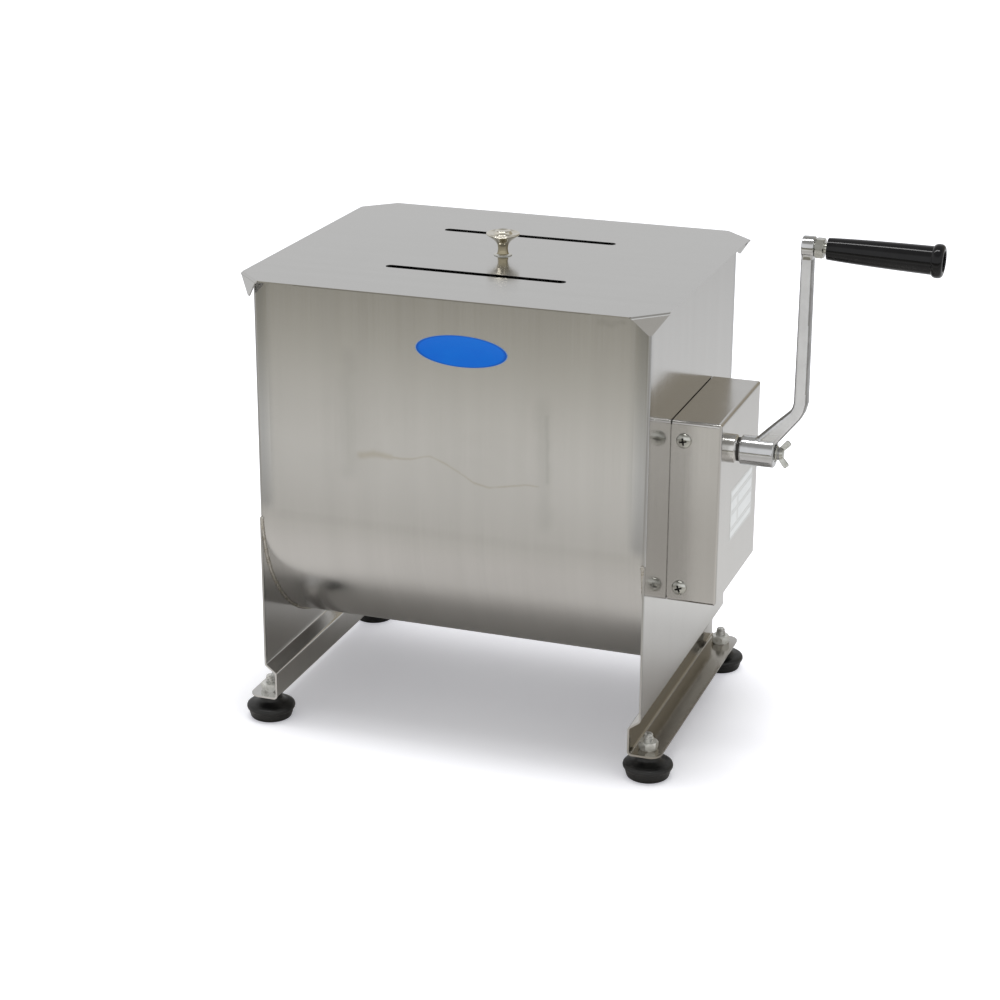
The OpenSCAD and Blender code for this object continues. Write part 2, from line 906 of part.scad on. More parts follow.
// turned grip: slim at the crank, thicker outwards, with a bead and a recess at its end
module hand_grip() {
  color(black)
  on_grip()
  translate([grip_x0, 0, 0])
  rotate([0, 90, 0])
  difference() {
    rotate_extrude()
    polygon([
      [spindle_r + run_gap, 0], [6.9, 0], [8, 0.5], [8.4, 1.8], [9.3, 22], [10.1, 48],
      [10.7, grip_len - 9], [10.9, grip_len - 8.2], [12, grip_len - 7.2], [12.6, grip_len - 5.6],
      [12.7, grip_len - 4], [12.3, grip_len - 2], [11.3, grip_len - 0.6],
      [grip_end_r, grip_len], [spindle_r + run_gap, grip_len]
    ]);
    translate([0, 0, grip_floor - grip_x0]) cylinder(r = 7.6, h = 10);
  }
}

// corner triangle of the lid folded down, drawn at the rear right corner
module lid_tab() {
  fold_half = lid_corner / sqrt(2);
  used = PI / 2 * (lid_bend + lid_t / 2);
  drop = lid_t + lid_bend;
  translate([lid_hx - lid_corner / 2, lid_hy - lid_corner / 2, lid_z])
  rotate([0, 0, 45])
  union() {
    along_y(-fold_half + used / 2, fold_half - used / 2)
    translate([0, -drop]) sector(lid_bend, drop, 0, 90);
    along_x(lid_bend, drop)
    polygon([
      [-fold_half + used, -drop],
      [fold_half - used, -drop],
      [1.5, -drop - fold_half + used + 1.5],
      [-1.5, -drop - fold_half + used + 1.5]
    ]);
  }
}

module lid() {
  color(steel)
  in_frame()
  difference() {
    union() {
      translate([0, 0, rim_z])
      linear_extrude(height = lid_t)
      polygon([
        [lid_hx, lid_hy - lid_corner], [lid_hx - lid_corner, lid_hy],
        [-lid_hx + lid_corner, lid_hy], [-lid_hx, lid_hy - lid_corner],
        [-lid_hx, -lid_hy + lid_corner], [-lid_hx + lid_corner, -lid_hy],
        [lid_hx - lid_corner, -lid_hy], [lid_hx, -lid_hy + lid_corner]
      ]);
      for (mx = [0, 1], my = [0, 1])
        mirror([mx, 0, 0]) mirror([0, my, 0]) lid_tab();
    }
    for (y = [-slot_pitch / 2, slot_pitch / 2])
      translate([-slot_len / 2, y - slot_w / 2, rim_z - 1])
      linear_extrude(height = lid_t + 2)
      rounded(slot_len, slot_w, slot_w / 2 - 0.05);
    translate([0, 0, rim_z - 1]) cylinder(r = knob_hole, h = lid_t + 2);
  }
}

// mushroom knob with a small foot, a waist and a dished top
module lid_knob() {
  r = knob_d / 2;
  color(nickel)
  in_frame()
  translate([0, 0, lid_z])
  difference() {
    rotate_extrude()
    union() {
      polygon([[0, 0], [7, 0], [7.3, 0.4], [7.3, 1], [6.4, 1.9], [0, 1.9]]);
      difference() {
        translate([0, 1.5]) square([8.5, 12.5]);
        translate([11.9, 7]) circle(r = 8);
      }
      polygon([
        [0, 13], [7, 13], [r - 2.4, 15.2], [r - 0.4, 16.4], [r, 17.2], [r - 0.5, 18],
        [r - 3.5, 19.5], [r - 6, 20.2], [r - 7.2, 20], [r - 8.6, 19.2], [0, 18.8]
      ]);
    }
    translate([0, 0, -1]) cylinder(r = knob_hole, h = 12);
  }
}

module knob_screw() {
  color(zinc)
  in_frame()
  translate([0, 0, rim_z - 1])
  union() {
    translate([0, 0, -2.4]) cylinder(r1 = 3, r2 = 3.8, h = 2.4);
    cylinder(r = knob_screw_r, h = 11);
  }
}

module knob_washer() {
  color(zinc)
  in_frame()
  translate([0, 0, rim_z - 1])
  difference() {
    cylinder(r = 5.5, h = 1);
    translate([0, 0, -1]) cylinder(r = knob_hole, h = 3);
  }
}

trough();
left_side_plate();
right_side_plate();
gear_cover();
cover_bracket_front();
cover_bracket_rear();
bracket_nuts();
cover_screws();
crank_bush();
inner_bush();
drive_bush();
shaft_seal();
left_bush();
pivot_bolt();
foot_studs();
foot_nuts();
foot_front_left();
foot_front_right();
foot_rear_left();
foot_rear_right();
drive_shaft();
drive_gear();
drive_key();
gear_circlip();
paddle_shaft();
paddle_1();
paddle_2();
paddle_3();
paddle_4();
crank_shaft();
pinion_gear();
pinion_key();
pinion_circlip();
crank_washer();
crank_arm();
wing_screw();
grip_spindle();
grip_nut();
hand_grip();
lid();
lid_knob();
knob_screw();
knob_washer();
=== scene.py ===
# %% [markdown]
# # Dressing a hand-cranked meat mixer
# The imported CAD model is the frame of this picture: every sheet, gear and screw is already in its
# place, in metres. This lesson gives each of them its finish, models again the few pieces whose
# looks need rounder forms than the solids have, and sets up a plain pale studio round them.

# %% Load the frame
import json
import math

import bpy
from mathutils import Matrix, Vector


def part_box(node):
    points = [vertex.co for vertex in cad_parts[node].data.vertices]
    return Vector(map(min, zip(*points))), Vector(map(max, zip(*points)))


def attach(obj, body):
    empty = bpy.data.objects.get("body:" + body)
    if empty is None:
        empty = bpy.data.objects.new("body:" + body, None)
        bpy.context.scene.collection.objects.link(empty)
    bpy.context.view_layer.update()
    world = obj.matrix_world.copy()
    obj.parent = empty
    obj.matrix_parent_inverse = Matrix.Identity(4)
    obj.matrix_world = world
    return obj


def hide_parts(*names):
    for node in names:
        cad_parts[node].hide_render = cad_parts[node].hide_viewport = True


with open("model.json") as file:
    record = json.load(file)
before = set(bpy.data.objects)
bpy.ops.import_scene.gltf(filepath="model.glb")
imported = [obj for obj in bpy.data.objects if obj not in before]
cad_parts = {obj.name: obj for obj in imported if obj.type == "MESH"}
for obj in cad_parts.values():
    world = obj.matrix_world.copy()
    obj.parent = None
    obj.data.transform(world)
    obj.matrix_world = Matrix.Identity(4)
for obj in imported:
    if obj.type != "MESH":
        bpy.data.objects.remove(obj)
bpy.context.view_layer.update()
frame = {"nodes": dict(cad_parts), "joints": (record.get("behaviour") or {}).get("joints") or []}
nodes = frame["nodes"]
joints = {joint["name"]: joint for joint in frame["joints"]}
scene = bpy.context.scene
MM = 0.001
TANK_X = (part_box("trough")[0].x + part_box("trough")[1].x) / 2

# %% [markdown]
# ## The camera
# A long lens far away keeps the tank's edges nearly parallel, as in a catalogue picture. The place
# and the three angles were worked out from the tank's own corners, so the sheet edges of the frame
# fall on the edges in the picture. Rotations are combined as matrices, because the small roll comes
# first, then the tilt, then the turn round the object.

# %% Camera
EYE = (TANK_X + 0.6108, -1.72981, 0.83709)
TURN, TILT, ROLL = 19.494, 19.926, 0.2555
SENSOR, LENS = 36, 84.93
aim = (
    Matrix.Rotation(math.radians(TURN), 3, "Z")
    @ Matrix.Rotation(math.radians(90 - TILT), 3, "X")
    @ Matrix.Rotation(math.radians(ROLL), 3, "Z")
)
bpy.ops.object.camera_add(location=EYE, rotation=aim.to_euler())
camera = bpy.context.object
camera.name = "studio_camera"
camera.data.sensor_width = SENSOR
camera.data.lens = LENS
scene.camera = camera
scene.view_settings.view_transform = "Standard"
print("camera", [round(c, 3) for c in camera.location], "lens", LENS)

# %% [markdown]
# ## Small helpers for materials
# All finishes here are made of nodes. A few short functions keep that readable: they add a node with
# its values, join outputs to inputs, map a value from one range to another and mix two colours.

# %% Node helpers
SMOOTH = "SMOOTHSTEP"


def add_node(tree, kind, sockets=None, **settings):
    """A new node with its settings and the values of its inputs."""
    made = tree.nodes.new("ShaderNode" + kind)
    for name, value in settings.items():
        setattr(made, name, value)
    for name, value in (sockets or {}).items():
        made.inputs[name].default_value = value
    return made


def join(tree, giver, out_name, taker, in_name):
    tree.links.new(giver.outputs[out_name], taker.inputs[in_name])


def join_all(tree, *links):
    for link in links:
        join(tree, *link)


def value_range(tree, node, out_name, low, high, source_low=0.3, source_high=0.7, curve="LINEAR"):
    """Maps a node's output from its source range to the range from low to high."""
    made = add_node(tree, "MapRange", {"From Min": source_low, "From Max": source_high,
                                       "To Min": low, "To Max": high}, interpolation_type=curve)
    join(tree, node, out_name, made, "Value")
    return made


def mix_colour(tree, factor_node, factor_out, first, second):
    """Mixes two colours, each given as a tuple or a socket, and returns the socket of the mix."""
    mixed = add_node(tree, "Mix", data_type="RGBA")
    join(tree, factor_node, factor_out, mixed, "Factor")
    for label, given in (("A", first), ("B", second)):
        if isinstance(given, tuple):
            mixed.inputs[label].default_value = given
        else:
            tree.links.new(given, mixed.inputs[label])
    return mixed.outputs["Result"]


print("node helpers ready")

# %% [markdown]
# ## The floor
# A pale sheet that keeps the mixer's shadow. Its diffuse colour is a plain light grey. Rays that
# come straight from the camera get a little glow on top: weak inside a rectangle round the feet,
# stronger outside it, so that the open floor is white. The weaker, cool-tinted glow inside that
# rectangle is a painted shadow. It sets how far the darker floor reaches and gives it its blue tint,
# on top of the real shadow. Rays that arrive from polished steel see the sheet fade towards the room
# in front: steel has no colour of its own, so what it mirrors decides how it looks.

# %% Floor
FLOOR_SIZE = 16
FLOOR_GREY = (0.88, 0.88, 0.88, 1)
# Painted shadow: the glow is weak inside the rectangle round the feet, and its cool tint paints a blue
# cast into the floor's shadow.
GLOW_NEAR, GLOW_FAR, GLOW_TO = 0.22, 0.74, 0.17
GLOW_TINT = (0.96, 0.965, 1.04, 1)
PAINTED_SHADE_MIDDLE = (TANK_X, -0.02, 0)
PAINTED_SHADE_HALF = (0.15, 0.05, 1.0)
FADE_FRONT, FADE_BACK = -1.6, 0.9
FADE = (
    (0.0, 0.33, 0.31, 0.255), (0.17, 0.60, 0.575, 0.50), (0.30, 0.93, 0.915, 0.88),
    (0.36, 0.76, 0.745, 0.715), (0.40, 0.59, 0.57, 0.535), (0.44, 0.61, 0.59, 0.555),
    (0.49, 0.66, 0.64, 0.605), (0.53, 0.74, 0.715, 0.685), (0.57, 0.82, 0.795, 0.765),
    (0.61, 0.72, 0.70, 0.67), (0.655, 0.58, 0.56, 0.535), (0.70, 0.80, 0.795, 0.785),
    (0.76, 0.85, 0.85, 0.845), (1.0, 0.82, 0.82, 0.82),
)

bpy.ops.mesh.primitive_plane_add(size=FLOOR_SIZE)
floor = bpy.context.object
floor.name = "studio_floor"
paper = bpy.data.materials.new("studio_paper")
paper.use_nodes = True
tree = paper.node_tree
tree.nodes.clear()
place = add_node(tree, "TexCoord")
path = add_node(tree, "LightPath")
split = add_node(tree, "SeparateXYZ")
join(tree, place, "Object", split, "Vector")
spread = value_range(tree, split, "Y", 0.0, 1.0, FADE_FRONT, FADE_BACK)
fade = add_node(tree, "ValToRGB")
join(tree, spread, "Result", fade, "Fac")
for index, (at, red, green, blue) in enumerate(FADE):
    stop = fade.color_ramp.elements[index] if index < 2 else fade.color_ramp.elements.new(at)
    stop.position = at
    stop.color = (red, green, blue, 1)
tint = mix_colour(tree, path, "Is Glossy Ray", FLOOR_GREY, fade.outputs["Color"])
# The distance outside the rectangle sets the glow, which paints the shadow's reach round the feet.
shift = add_node(tree, "VectorMath", {1: PAINTED_SHADE_MIDDLE}, operation="SUBTRACT")
mirror = add_node(tree, "VectorMath", operation="ABSOLUTE")
beyond = add_node(tree, "VectorMath", {1: PAINTED_SHADE_HALF}, operation="SUBTRACT")
outside = add_node(tree, "VectorMath", {1: (0, 0, 0)}, operation="MAXIMUM")
away = add_node(tree, "VectorMath", operation="LENGTH")
join(tree, place, "Object", shift, 0)
for giver, taker in ((shift, mirror), (mirror, beyond), (beyond, outside), (outside, away)):
    join(tree, giver, "Vector", taker, 0)
rise = value_range(tree, away, "Value", GLOW_NEAR, GLOW_FAR, 0.0, GLOW_TO, SMOOTH)
strength = add_node(tree, "Math", operation="MULTIPLY")
matt = add_node(tree, "BsdfDiffuse")
glow = add_node(tree, "Emission", {"Color": GLOW_TINT})
both = add_node(tree, "AddShader")
out = add_node(tree, "OutputMaterial")
tree.links.new(tint, matt.inputs["Color"])
join_all(
    tree, (path, "Is Camera Ray", strength, 0), (rise, "Result", strength, 1),
    (strength, "Value", glow, "Strength"), (matt, "BSDF", both, 0), (glow, "Emission", both, 1),
    (both, "Shader", out, "Surface"),
)
paper.cycles.emission_sampling = "NONE"
floor.data.materials.append(paper)
print("floor", [round(d, 2) for d in floor.dimensions])

# %% [markdown]
# ## The room and the lamps
# The world is white where the camera looks past the floor. As light it is an even pale grey. In the
# steel it is a room with pale walls, a dim ceiling and one dark brown corner behind on the right:
# the top of the gear cover and the foot flanges mirror that corner by way of the side plate. One
# large soft lamp hangs above, and it is kept out of reflections: polished pieces mirror a narrow
# strip lamp instead, which draws the thin bright line along the grip and the hub.

# %% World
ROOM_LIGHT = 0.55
WHITE = (1, 1, 1, 1)
WALL_FRONT, WALL_BACK = 0.86, 0.66
WALL_SPAN = (-0.5, 0.6)
CORNER = (0.38, 0.345, 0.28, 1)
CEILING = (0.36, 0.355, 0.34, 1)
RIGHT, BEHIND, BELOW = ("X", 0.0, 0.28), ("Y", 0.1, 0.6), ("Z", 0.75, 0.45)
ABOVE = ("Z", 0.50, 0.74)

world = bpy.data.worlds.new("studio_room")
scene.world = world
world.use_nodes = True
tree = world.node_tree
tree.nodes.clear()
look = add_node(tree, "TexCoord")
path = add_node(tree, "LightPath")
split = add_node(tree, "SeparateXYZ")
join(tree, look, "Generated", split, "Vector")
walls = value_range(tree, split, "Y", WALL_FRONT, WALL_BACK, *WALL_SPAN)
right, behind, below, above = (
    value_range(tree, split, way, 0.0, 1.0, start, full, SMOOTH)
    for way, start, full in (RIGHT, BEHIND, BELOW, ABOVE)
)
corner = add_node(tree, "Math", operation="MULTIPLY")
corner_low = add_node(tree, "Math", operation="MULTIPLY")
join_all(
    tree, (right, "Result", corner, 0), (behind, "Result", corner, 1),
    (corner, "Value", corner_low, 0), (below, "Result", corner_low, 1),
)
room = mix_colour(tree, corner_low, "Value", walls.outputs["Result"], CORNER)
roofed = mix_colour(tree, above, "Result", room, CEILING)
even = add_node(tree, "Background", {"Color": WHITE, "Strength": ROOM_LIGHT})
mirrored = add_node(tree, "Background", {"Strength": 1.0})
white = add_node(tree, "Background", {"Color": WHITE, "Strength": 1.0})
in_steel = add_node(tree, "MixShader")
in_view = add_node(tree, "MixShader")
out = add_node(tree, "OutputWorld")
tree.links.new(roofed, mirrored.inputs["Color"])
join_all(
    tree, (path, "Is Glossy Ray", in_steel, "Fac"), (even, "Background", in_steel, 1),
    (mirrored, "Background", in_steel, 2), (path, "Is Camera Ray", in_view, "Fac"),
    (in_steel, "Shader", in_view, 1), (white, "Background", in_view, 2),
    (in_view, "Shader", out, "Surface"),
)
world.cycles.sampling_method = "NONE"
print("room light", ROOM_LIGHT)

# %% Lamps
def area_lamp(name, at, wide, deep, watts, in_reflections):
    bpy.ops.object.light_add(type="AREA", location=at)
    lamp = bpy.context.object
    lamp.name = name
    lamp.data.shape = "RECTANGLE"
    lamp.data.size = wide
    lamp.data.size_y = deep
    lamp.data.energy = watts
    lamp.visible_camera = False
    lamp.visible_glossy = in_reflections
    print(name, watts, "W")


area_lamp("overhead_softbox", (-0.05, 0.12, 2.3), 2.2, 1.6, 14, False)
area_lamp("strip_lamp", (-0.36, -0.15, 2.12), 1.8, 0.26, 12, True)

# %% [markdown]
# ## Effects that several finishes share
# Sheet steel is brushed in one direction, and hands leave cloudy marks on it. Both are needed on
# many pieces, so each is one node group: the material stretches the coordinates for its own brushing
# direction and decides how strong the effect is. A third group measures the distance to a line and
# is used for single marks such as a dried run of water.

# %% Effect groups
def new_group(name, takes, gives):
    group = bpy.data.node_groups.new(name, "ShaderNodeTree")
    for label, kind, value in takes:
        socket = group.interface.new_socket(label, in_out="INPUT", socket_type="NodeSocket" + kind)
        if value is not None:
            socket.default_value = value
    for label, kind in gives:
        group.interface.new_socket(label, in_out="OUTPUT", socket_type="NodeSocket" + kind)
    entry = group.nodes.new("NodeGroupInput")
    leave = group.nodes.new("NodeGroupOutput")
    return group, entry, leave


brushing, entry, leave = new_group(
    "brushed_sheet", [("Vector", "Vector", None)], [("Fine", "Float"), ("Broad", "Float")]
)
for label, scale, detail, rough in (("Fine", 1.0, 3.0, 0.65), ("Broad", 0.11, 2.0, 0.5)):
    streaks = add_node(brushing, "TexNoise", {"Scale": scale, "Detail": detail, "Roughness": rough})
    join_all(brushing, (entry, "Vector", streaks, "Vector"), (streaks, "Fac", leave, label))

handling, entry, leave = new_group(
    "hand_marks",
    [("Vector", "Vector", None), ("Size", "Float", 12.0), ("Low", "Float", 0.5),
     ("High", "Float", 0.75)],
    [("Mask", "Float")],
)
clouds = add_node(handling, "TexNoise", {"Detail": 4.0, "Roughness": 0.6, "Distortion": 0.8})
edge = value_range(handling, clouds, "Fac", 0.0, 1.0, curve=SMOOTH)
join_all(
    handling, (entry, "Vector", clouds, "Vector"), (entry, "Size", clouds, "Scale"),
    (entry, "Low", edge, "From Min"), (entry, "High", edge, "From Max"),
    (edge, "Result", leave, "Mask"),
)

marking, entry, leave = new_group(
    "line_mark",
    [("Vector", "Vector", None), ("Start", "Vector", (0, 0, 0)), ("End", "Vector", (0, 0, 1)),
     ("Width", "Float", 0.002)],
    [("Mask", "Float")],
)
from_start = add_node(marking, "VectorMath", operation="SUBTRACT")
along = add_node(marking, "VectorMath", operation="SUBTRACT")
shadow = add_node(marking, "VectorMath", operation="DOT_PRODUCT")
square = add_node(marking, "VectorMath", operation="DOT_PRODUCT")
share = add_node(marking, "Math", operation="DIVIDE", use_clamp=True)
foot = add_node(marking, "VectorMath", operation="SCALE")
apart = add_node(marking, "VectorMath", operation="DISTANCE")
edge = value_range(marking, apart, "Value", 1.0, 0.0, 0.0, 1.0, SMOOTH)
join_all(
    marking, (entry, "Vector", from_start, 0), (entry, "Start", from_start, 1),
    (entry, "End", along, 0), (entry, "Start", along, 1),
    (from_start, "Vector", shadow, 0), (along, "Vector", shadow, 1),
    (along, "Vector", square, 0), (along, "Vector", square, 1),
    (shadow, "Value", share, 0), (square, "Value", share, 1),
    (along, "Vector", foot, 0), (share, "Value", foot, "Scale"),
    (from_start, "Vector", apart, 0), (foot, "Vector", apart, 1),
    (entry, "Width", edge, "From Max"), (edge, "Result", leave, "Mask"),
)
print("groups", [group.name for group in (brushing, handling, marking)])

# %% [markdown]
# ## Brushed stainless steel
# The tank, the legs, the lid and the cover are all the same kind of sheet, brushed in different
# directions. A real brushed sheet has thousands of fine scratches: they tint the reflection a
# little and blur it across the brushing. Noise stretched along the brushing direction gives both,
# through the roughness and through a very low bump. Single marks are sets of lines, each with a
# tone, a strength and a length by which the lines wander.

# %% Steel sheet finish
FINE_SHARE, BROAD_SHARE = 0.45, 0.55
ROUGHNESS_DRIFT = 0.02
SMUDGE = 0.035
SHEET_GRAIN = 0.0006
WANDER_SCALE = 60.0


def new_finish(name, metallic):
    """A new material, with its node tree, its shader and the node of its coordinates."""
    finish = bpy.data.materials.new(name)
    finish.use_nodes = True
    tree = finish.node_tree
    skin = tree.nodes["Principled BSDF"]
    skin.inputs["Metallic"].default_value = metallic
    return finish, tree, skin, add_node(tree, "TexCoord")


def brushed(tree, skin, place, stretch, strength, depth):
    """Gives a shader the relief of brushing, and returns the node of the brushing."""
    stretched = add_node(tree, "Mapping", {"Scale": stretch})
    grain = add_node(tree, "Group", node_tree=brushing)
    relief = add_node(tree, "Bump", {"Strength": strength, "Distance": depth})
    join_all(
        tree, (place, "Object", stretched, "Vector"), (stretched, "Vector", grain, "Vector"),
        (grain, "Fine", relief, "Height"), (relief, "Normal", skin, "Normal"),
    )
    return grain


def line_mask(tree, place, weight, wobble, lines):
    """A mask of lines that wander; each line has a start, an end and a width."""
    wander = add_node(tree, "TexNoise", {"Scale": WANDER_SCALE, "Detail": 3.0})
    shift = add_node(tree, "VectorMath", {1: (0.5, 0.5, 0.5)}, operation="SUBTRACT")
    scaled = add_node(tree, "VectorMath", {"Scale": wobble}, operation="SCALE")
    moved = add_node(tree, "VectorMath", operation="ADD")
    join_all(
        tree, (place, "Object", wander, "Vector"), (wander, "Color", shift, 0),
        (shift, "Vector", scaled, 0), (place, "Object", moved, 0), (scaled, "Vector", moved, 1),
    )
    mask = None
    for start, end, width in lines:
        values = {"Start": start, "End": end, "Width": width}
        line = add_node(tree, "Group", values, node_tree=marking)
        join(tree, moved, "Vector", line, "Vector")
        if mask is None:
            mask = line.outputs["Mask"]
        else:
            most = add_node(tree, "Math", operation="MAXIMUM")
            tree.links.new(mask, most.inputs[0])
            join(tree, line, "Mask", most, 1)
            mask = most.outputs["Value"]
    faint = add_node(tree, "Math", {1: weight}, operation="MULTIPLY")
    tree.links.new(mask, faint.inputs[0])
    return faint


def steel_sheet(name, stretch, light, dark, roughness, marks, bump=0.012):
    finish, tree, skin, place = new_finish(name, 1.0)
    grain = brushed(tree, skin, place, stretch, bump, SHEET_GRAIN)
    fine = value_range(tree, grain, "Fine", 0.0, 1.0)
    broad = value_range(tree, grain, "Broad", 0.0, 1.0)
    part = add_node(tree, "Math", {1: BROAD_SHARE}, operation="MULTIPLY")
    blend = add_node(tree, "Math", {1: FINE_SHARE}, operation="MULTIPLY_ADD")
    join_all(
        tree, (broad, "Result", part, 0), (fine, "Result", blend, 0), (part, "Value", blend, 2)
    )
    colour = mix_colour(tree, blend, "Value", dark, light)
    for tone, weight, wobble, lines in marks:
        faint = line_mask(tree, place, weight, wobble, lines)
        colour = mix_colour(tree, faint, "Value", colour, tone)
    tree.links.new(colour, skin.inputs["Base Color"])
    worn = value_range(tree, grain, "Fine", roughness - ROUGHNESS_DRIFT, roughness + ROUGHNESS_DRIFT)
    touched = add_node(tree, "Group", {"Size": 9.0, "Low": 0.48, "High": 0.78}, node_tree=handling)
    greasy = add_node(tree, "Math", {1: SMUDGE}, operation="MULTIPLY_ADD")
    join_all(
        tree, (place, "Object", touched, "Vector"), (touched, "Mask", greasy, 0),
        (worn, "Result", greasy, 2), (greasy, "Value", skin, "Roughness"),
    )
    return finish


print("sheet finish ready")

# %% Marks on the sheets
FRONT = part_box("trough")[0].y
LID_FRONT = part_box("lid")[0].y
LID_EDGE = 379.1 * MM
COVER_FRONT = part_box("gear_cover")[0].y
COVER_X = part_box("gear_cover")[1].x
FLANGE_X, FLANGE_Z = TANK_X + 168 * MM, 24 * MM
TEA = (0.40, 0.33, 0.20, 1)
GREY = (0.40, 0.40, 0.385, 1)


def on_front(x, z):
    """A point of the front wall, from millimetres beside the tank's middle and above the floor."""
    return (TANK_X + x * MM, FRONT, z * MM)


def upright(x, y, high, low, wide):
    """A line straight down a wall at the depth y; the other values are millimetres."""
    return (TANK_X + x * MM, y, high * MM), (TANK_X + x * MM, y, low * MM), wide * MM


dried = [(-72, 244, 5.0), (-60, 245.8, 4.2), (-47, 245.2, 1.8), (-30, 245.2, 1.5), (-14, 249, 1.5),
         (0, 244.2, 1.4), (11, 238.8, 1.1), (23, 232, 1.5), (35, 230, 1.4), (49, 232.4, 1.3),
         (64, 235.2, 1.2), (74, 235.5, 1.0)]
runs = [(on_front(x0, z0), on_front(x1, z1), wide * MM)
        for (x0, z0, wide), (x1, z1, _) in zip(dried, dried[1:])]
smears = [(on_front(-82, 230), on_front(-81, 322), 0.013),
          (on_front(79, 206), on_front(78, 300), 0.011),
          (on_front(121, 370), on_front(139, 370), 0.004)]
streak = [(on_front(81.5, 240), on_front(81, 292), 0.003)]
seams = [upright(end * 155.5, wall * FRONT, 379, 197, 13) for end in (-1, 1) for wall in (1, -1)]
folds = [upright(end * 159.2, FRONT + 0.9 * MM, 376, 60, 3.4) for end in (-1, 1)]
# The brown patch on the right foot flange is a painted reflection: the dark things that the flange
# mirrors, painted into its colour.
flange = [((FLANGE_X, -0.130, FLANGE_Z), (FLANGE_X, 0.092, FLANGE_Z), 0.048)]
# A dark line along the lid's front edge: painted shade under the lid's rim.
brim_painted_shade = [((TANK_X - 118 * MM, LID_FRONT, LID_EDGE), (TANK_X + 118 * MM, LID_FRONT, LID_EDGE), 0.0011)]
specks = [((COVER_X - 0.6 * MM, COVER_FRONT, z * MM),
           (COVER_X - 0.4 * MM, COVER_FRONT, (z + 1.6) * MM), 0.0007) for z in (134.5, 149)]
front_marks = [(TEA, 0.30, 0.0035, runs), (GREY, 0.20, 0.012, smears), (GREY, 0.30, 0.004, streak)]
ground_seams = [((0.44, 0.445, 0.45, 1), 0.85, 0.002, seams)]
fold_line = [((0.42, 0.42, 0.415, 1), 0.75, 0.0, folds)]
# Painted reflection on the flange, in a dark brown.
flange_painted_reflection = [((0.27, 0.245, 0.20, 1), 0.78, 0.004, flange)]
# Painted shade along the lid's front edge.
lid_edge_painted_shade = [((0.10, 0.095, 0.085, 1), 0.9, 0.0, brim_painted_shade)]
cover_marks = [((0.05, 0.045, 0.04, 1), 0.9, 0.0007, specks)]
print("lines", [len(lines) for lines in (runs, smears, streak, seams, folds, flange, brim_painted_shade, specks)])

# %% The four kinds of sheet
ACROSS, ALONG = 620.0, 5.0
steel_light, steel_dark = (0.655, 0.65, 0.64, 1), (0.61, 0.605, 0.595, 1)
tank_steel = steel_sheet("brushed_tank_sheet", (ACROSS, ALONG, ALONG), steel_light, steel_dark,
                         0.21, front_marks + ground_seams)
plate_steel = steel_sheet("brushed_leg_sheet", (ACROSS, ACROSS, ALONG), steel_light, steel_dark,
                          0.14, ground_seams + fold_line + flange_painted_reflection)
lid_steel = steel_sheet("brushed_lid_sheet", (ALONG, ACROSS, ACROSS), (0.645, 0.642, 0.635, 1),
                        (0.622, 0.619, 0.61, 1), 0.16, lid_edge_painted_shade, 0.005)
cover_steel = steel_sheet("brushed_cover_sheet", (ACROSS, ACROSS, ALONG),
                          (0.64, 0.63, 0.615, 1), (0.60, 0.59, 0.575, 1), 0.20, cover_marks)
print("sheet finishes", [m.name for m in (tank_steel, plate_steel, lid_steel, cover_steel)])

# %% [markdown]
# ## Small metal parts, plastic and rubber
# Screws and nuts are zinc plated, shafts are turned, the crank is a chromed casting, the gears are
# dark with oil and the bushes are bronze. They differ in colour, in how the tone drifts over the
# surface and in how fine their relief is, so one function makes them all from a few values: two
# colours, metallic, roughness, the scale of the drift and the strength of the relief. On the crank
# and on the knob the tone also changes with the height. The darker tone low down is painted shade
# on the crank's hub and painted reflection on the knob's neck.

# %% Finishes of small parts
EVEN_GRAIN, TURNED_GRAIN = (900.0, 900.0, 900.0), (1500.0, 30.0, 30.0)
SMALL_GRAIN = 0.0005
SOFT_SHINE = 0.3


def small_finish(name, first, second, metallic, roughness, size, relief, stretch=EVEN_GRAIN):
    finish, tree, skin, place = new_finish(name, metallic)
    drift = add_node(tree, "Group", {"Size": size, "Low": 0.32, "High": 0.72}, node_tree=handling)
    join(tree, place, "Object", drift, "Vector")
    colour = mix_colour(tree, drift, "Mask", (*first, 1), (*second, 1))
    tree.links.new(colour, skin.inputs["Base Color"])
    dull = value_range(tree, drift, "Mask", roughness * 0.85, roughness * 1.2, 0.0, 1.0)
    join(tree, dull, "Result", skin, "Roughness")
    brushed(tree, skin, place, stretch, relief, SMALL_GRAIN)
    return finish


zinc = small_finish("zinc_plating", (0.64, 0.645, 0.61), (0.46, 0.46, 0.42), 1.0, 0.18, 160.0, 0.06)
# A lighter copy of the zinc plating, a painted highlight, for the foot nuts and the knob's foot ring.
zinc_painted_lighter = small_finish("zinc_painted_lighter", (0.88, 0.88, 0.845), (0.58, 0.58, 0.54),
                           0.55, 0.20, 160.0, 0.06)
thread_zinc = small_finish("thread_zinc", (0.88, 0.88, 0.85), (0.22, 0.22, 0.205),
                           0.55, 0.20, 420.0, 0.06)
turned_steel = small_finish("turned_bright_steel", (0.70, 0.695, 0.68), (0.62, 0.615, 0.60),
                            1.0, 0.17, 70.0, 0.10, TURNED_GRAIN)
chrome = small_finish("chromed_casting", (0.93, 0.94, 0.96), (0.86, 0.87, 0.89), 1.0, 0.24, 60.0, 0.06)
polish = small_finish("polished_casting", (0.68, 0.685, 0.69), (0.60, 0.605, 0.61),
                      1.0, 0.10, 60.0, 0.03)
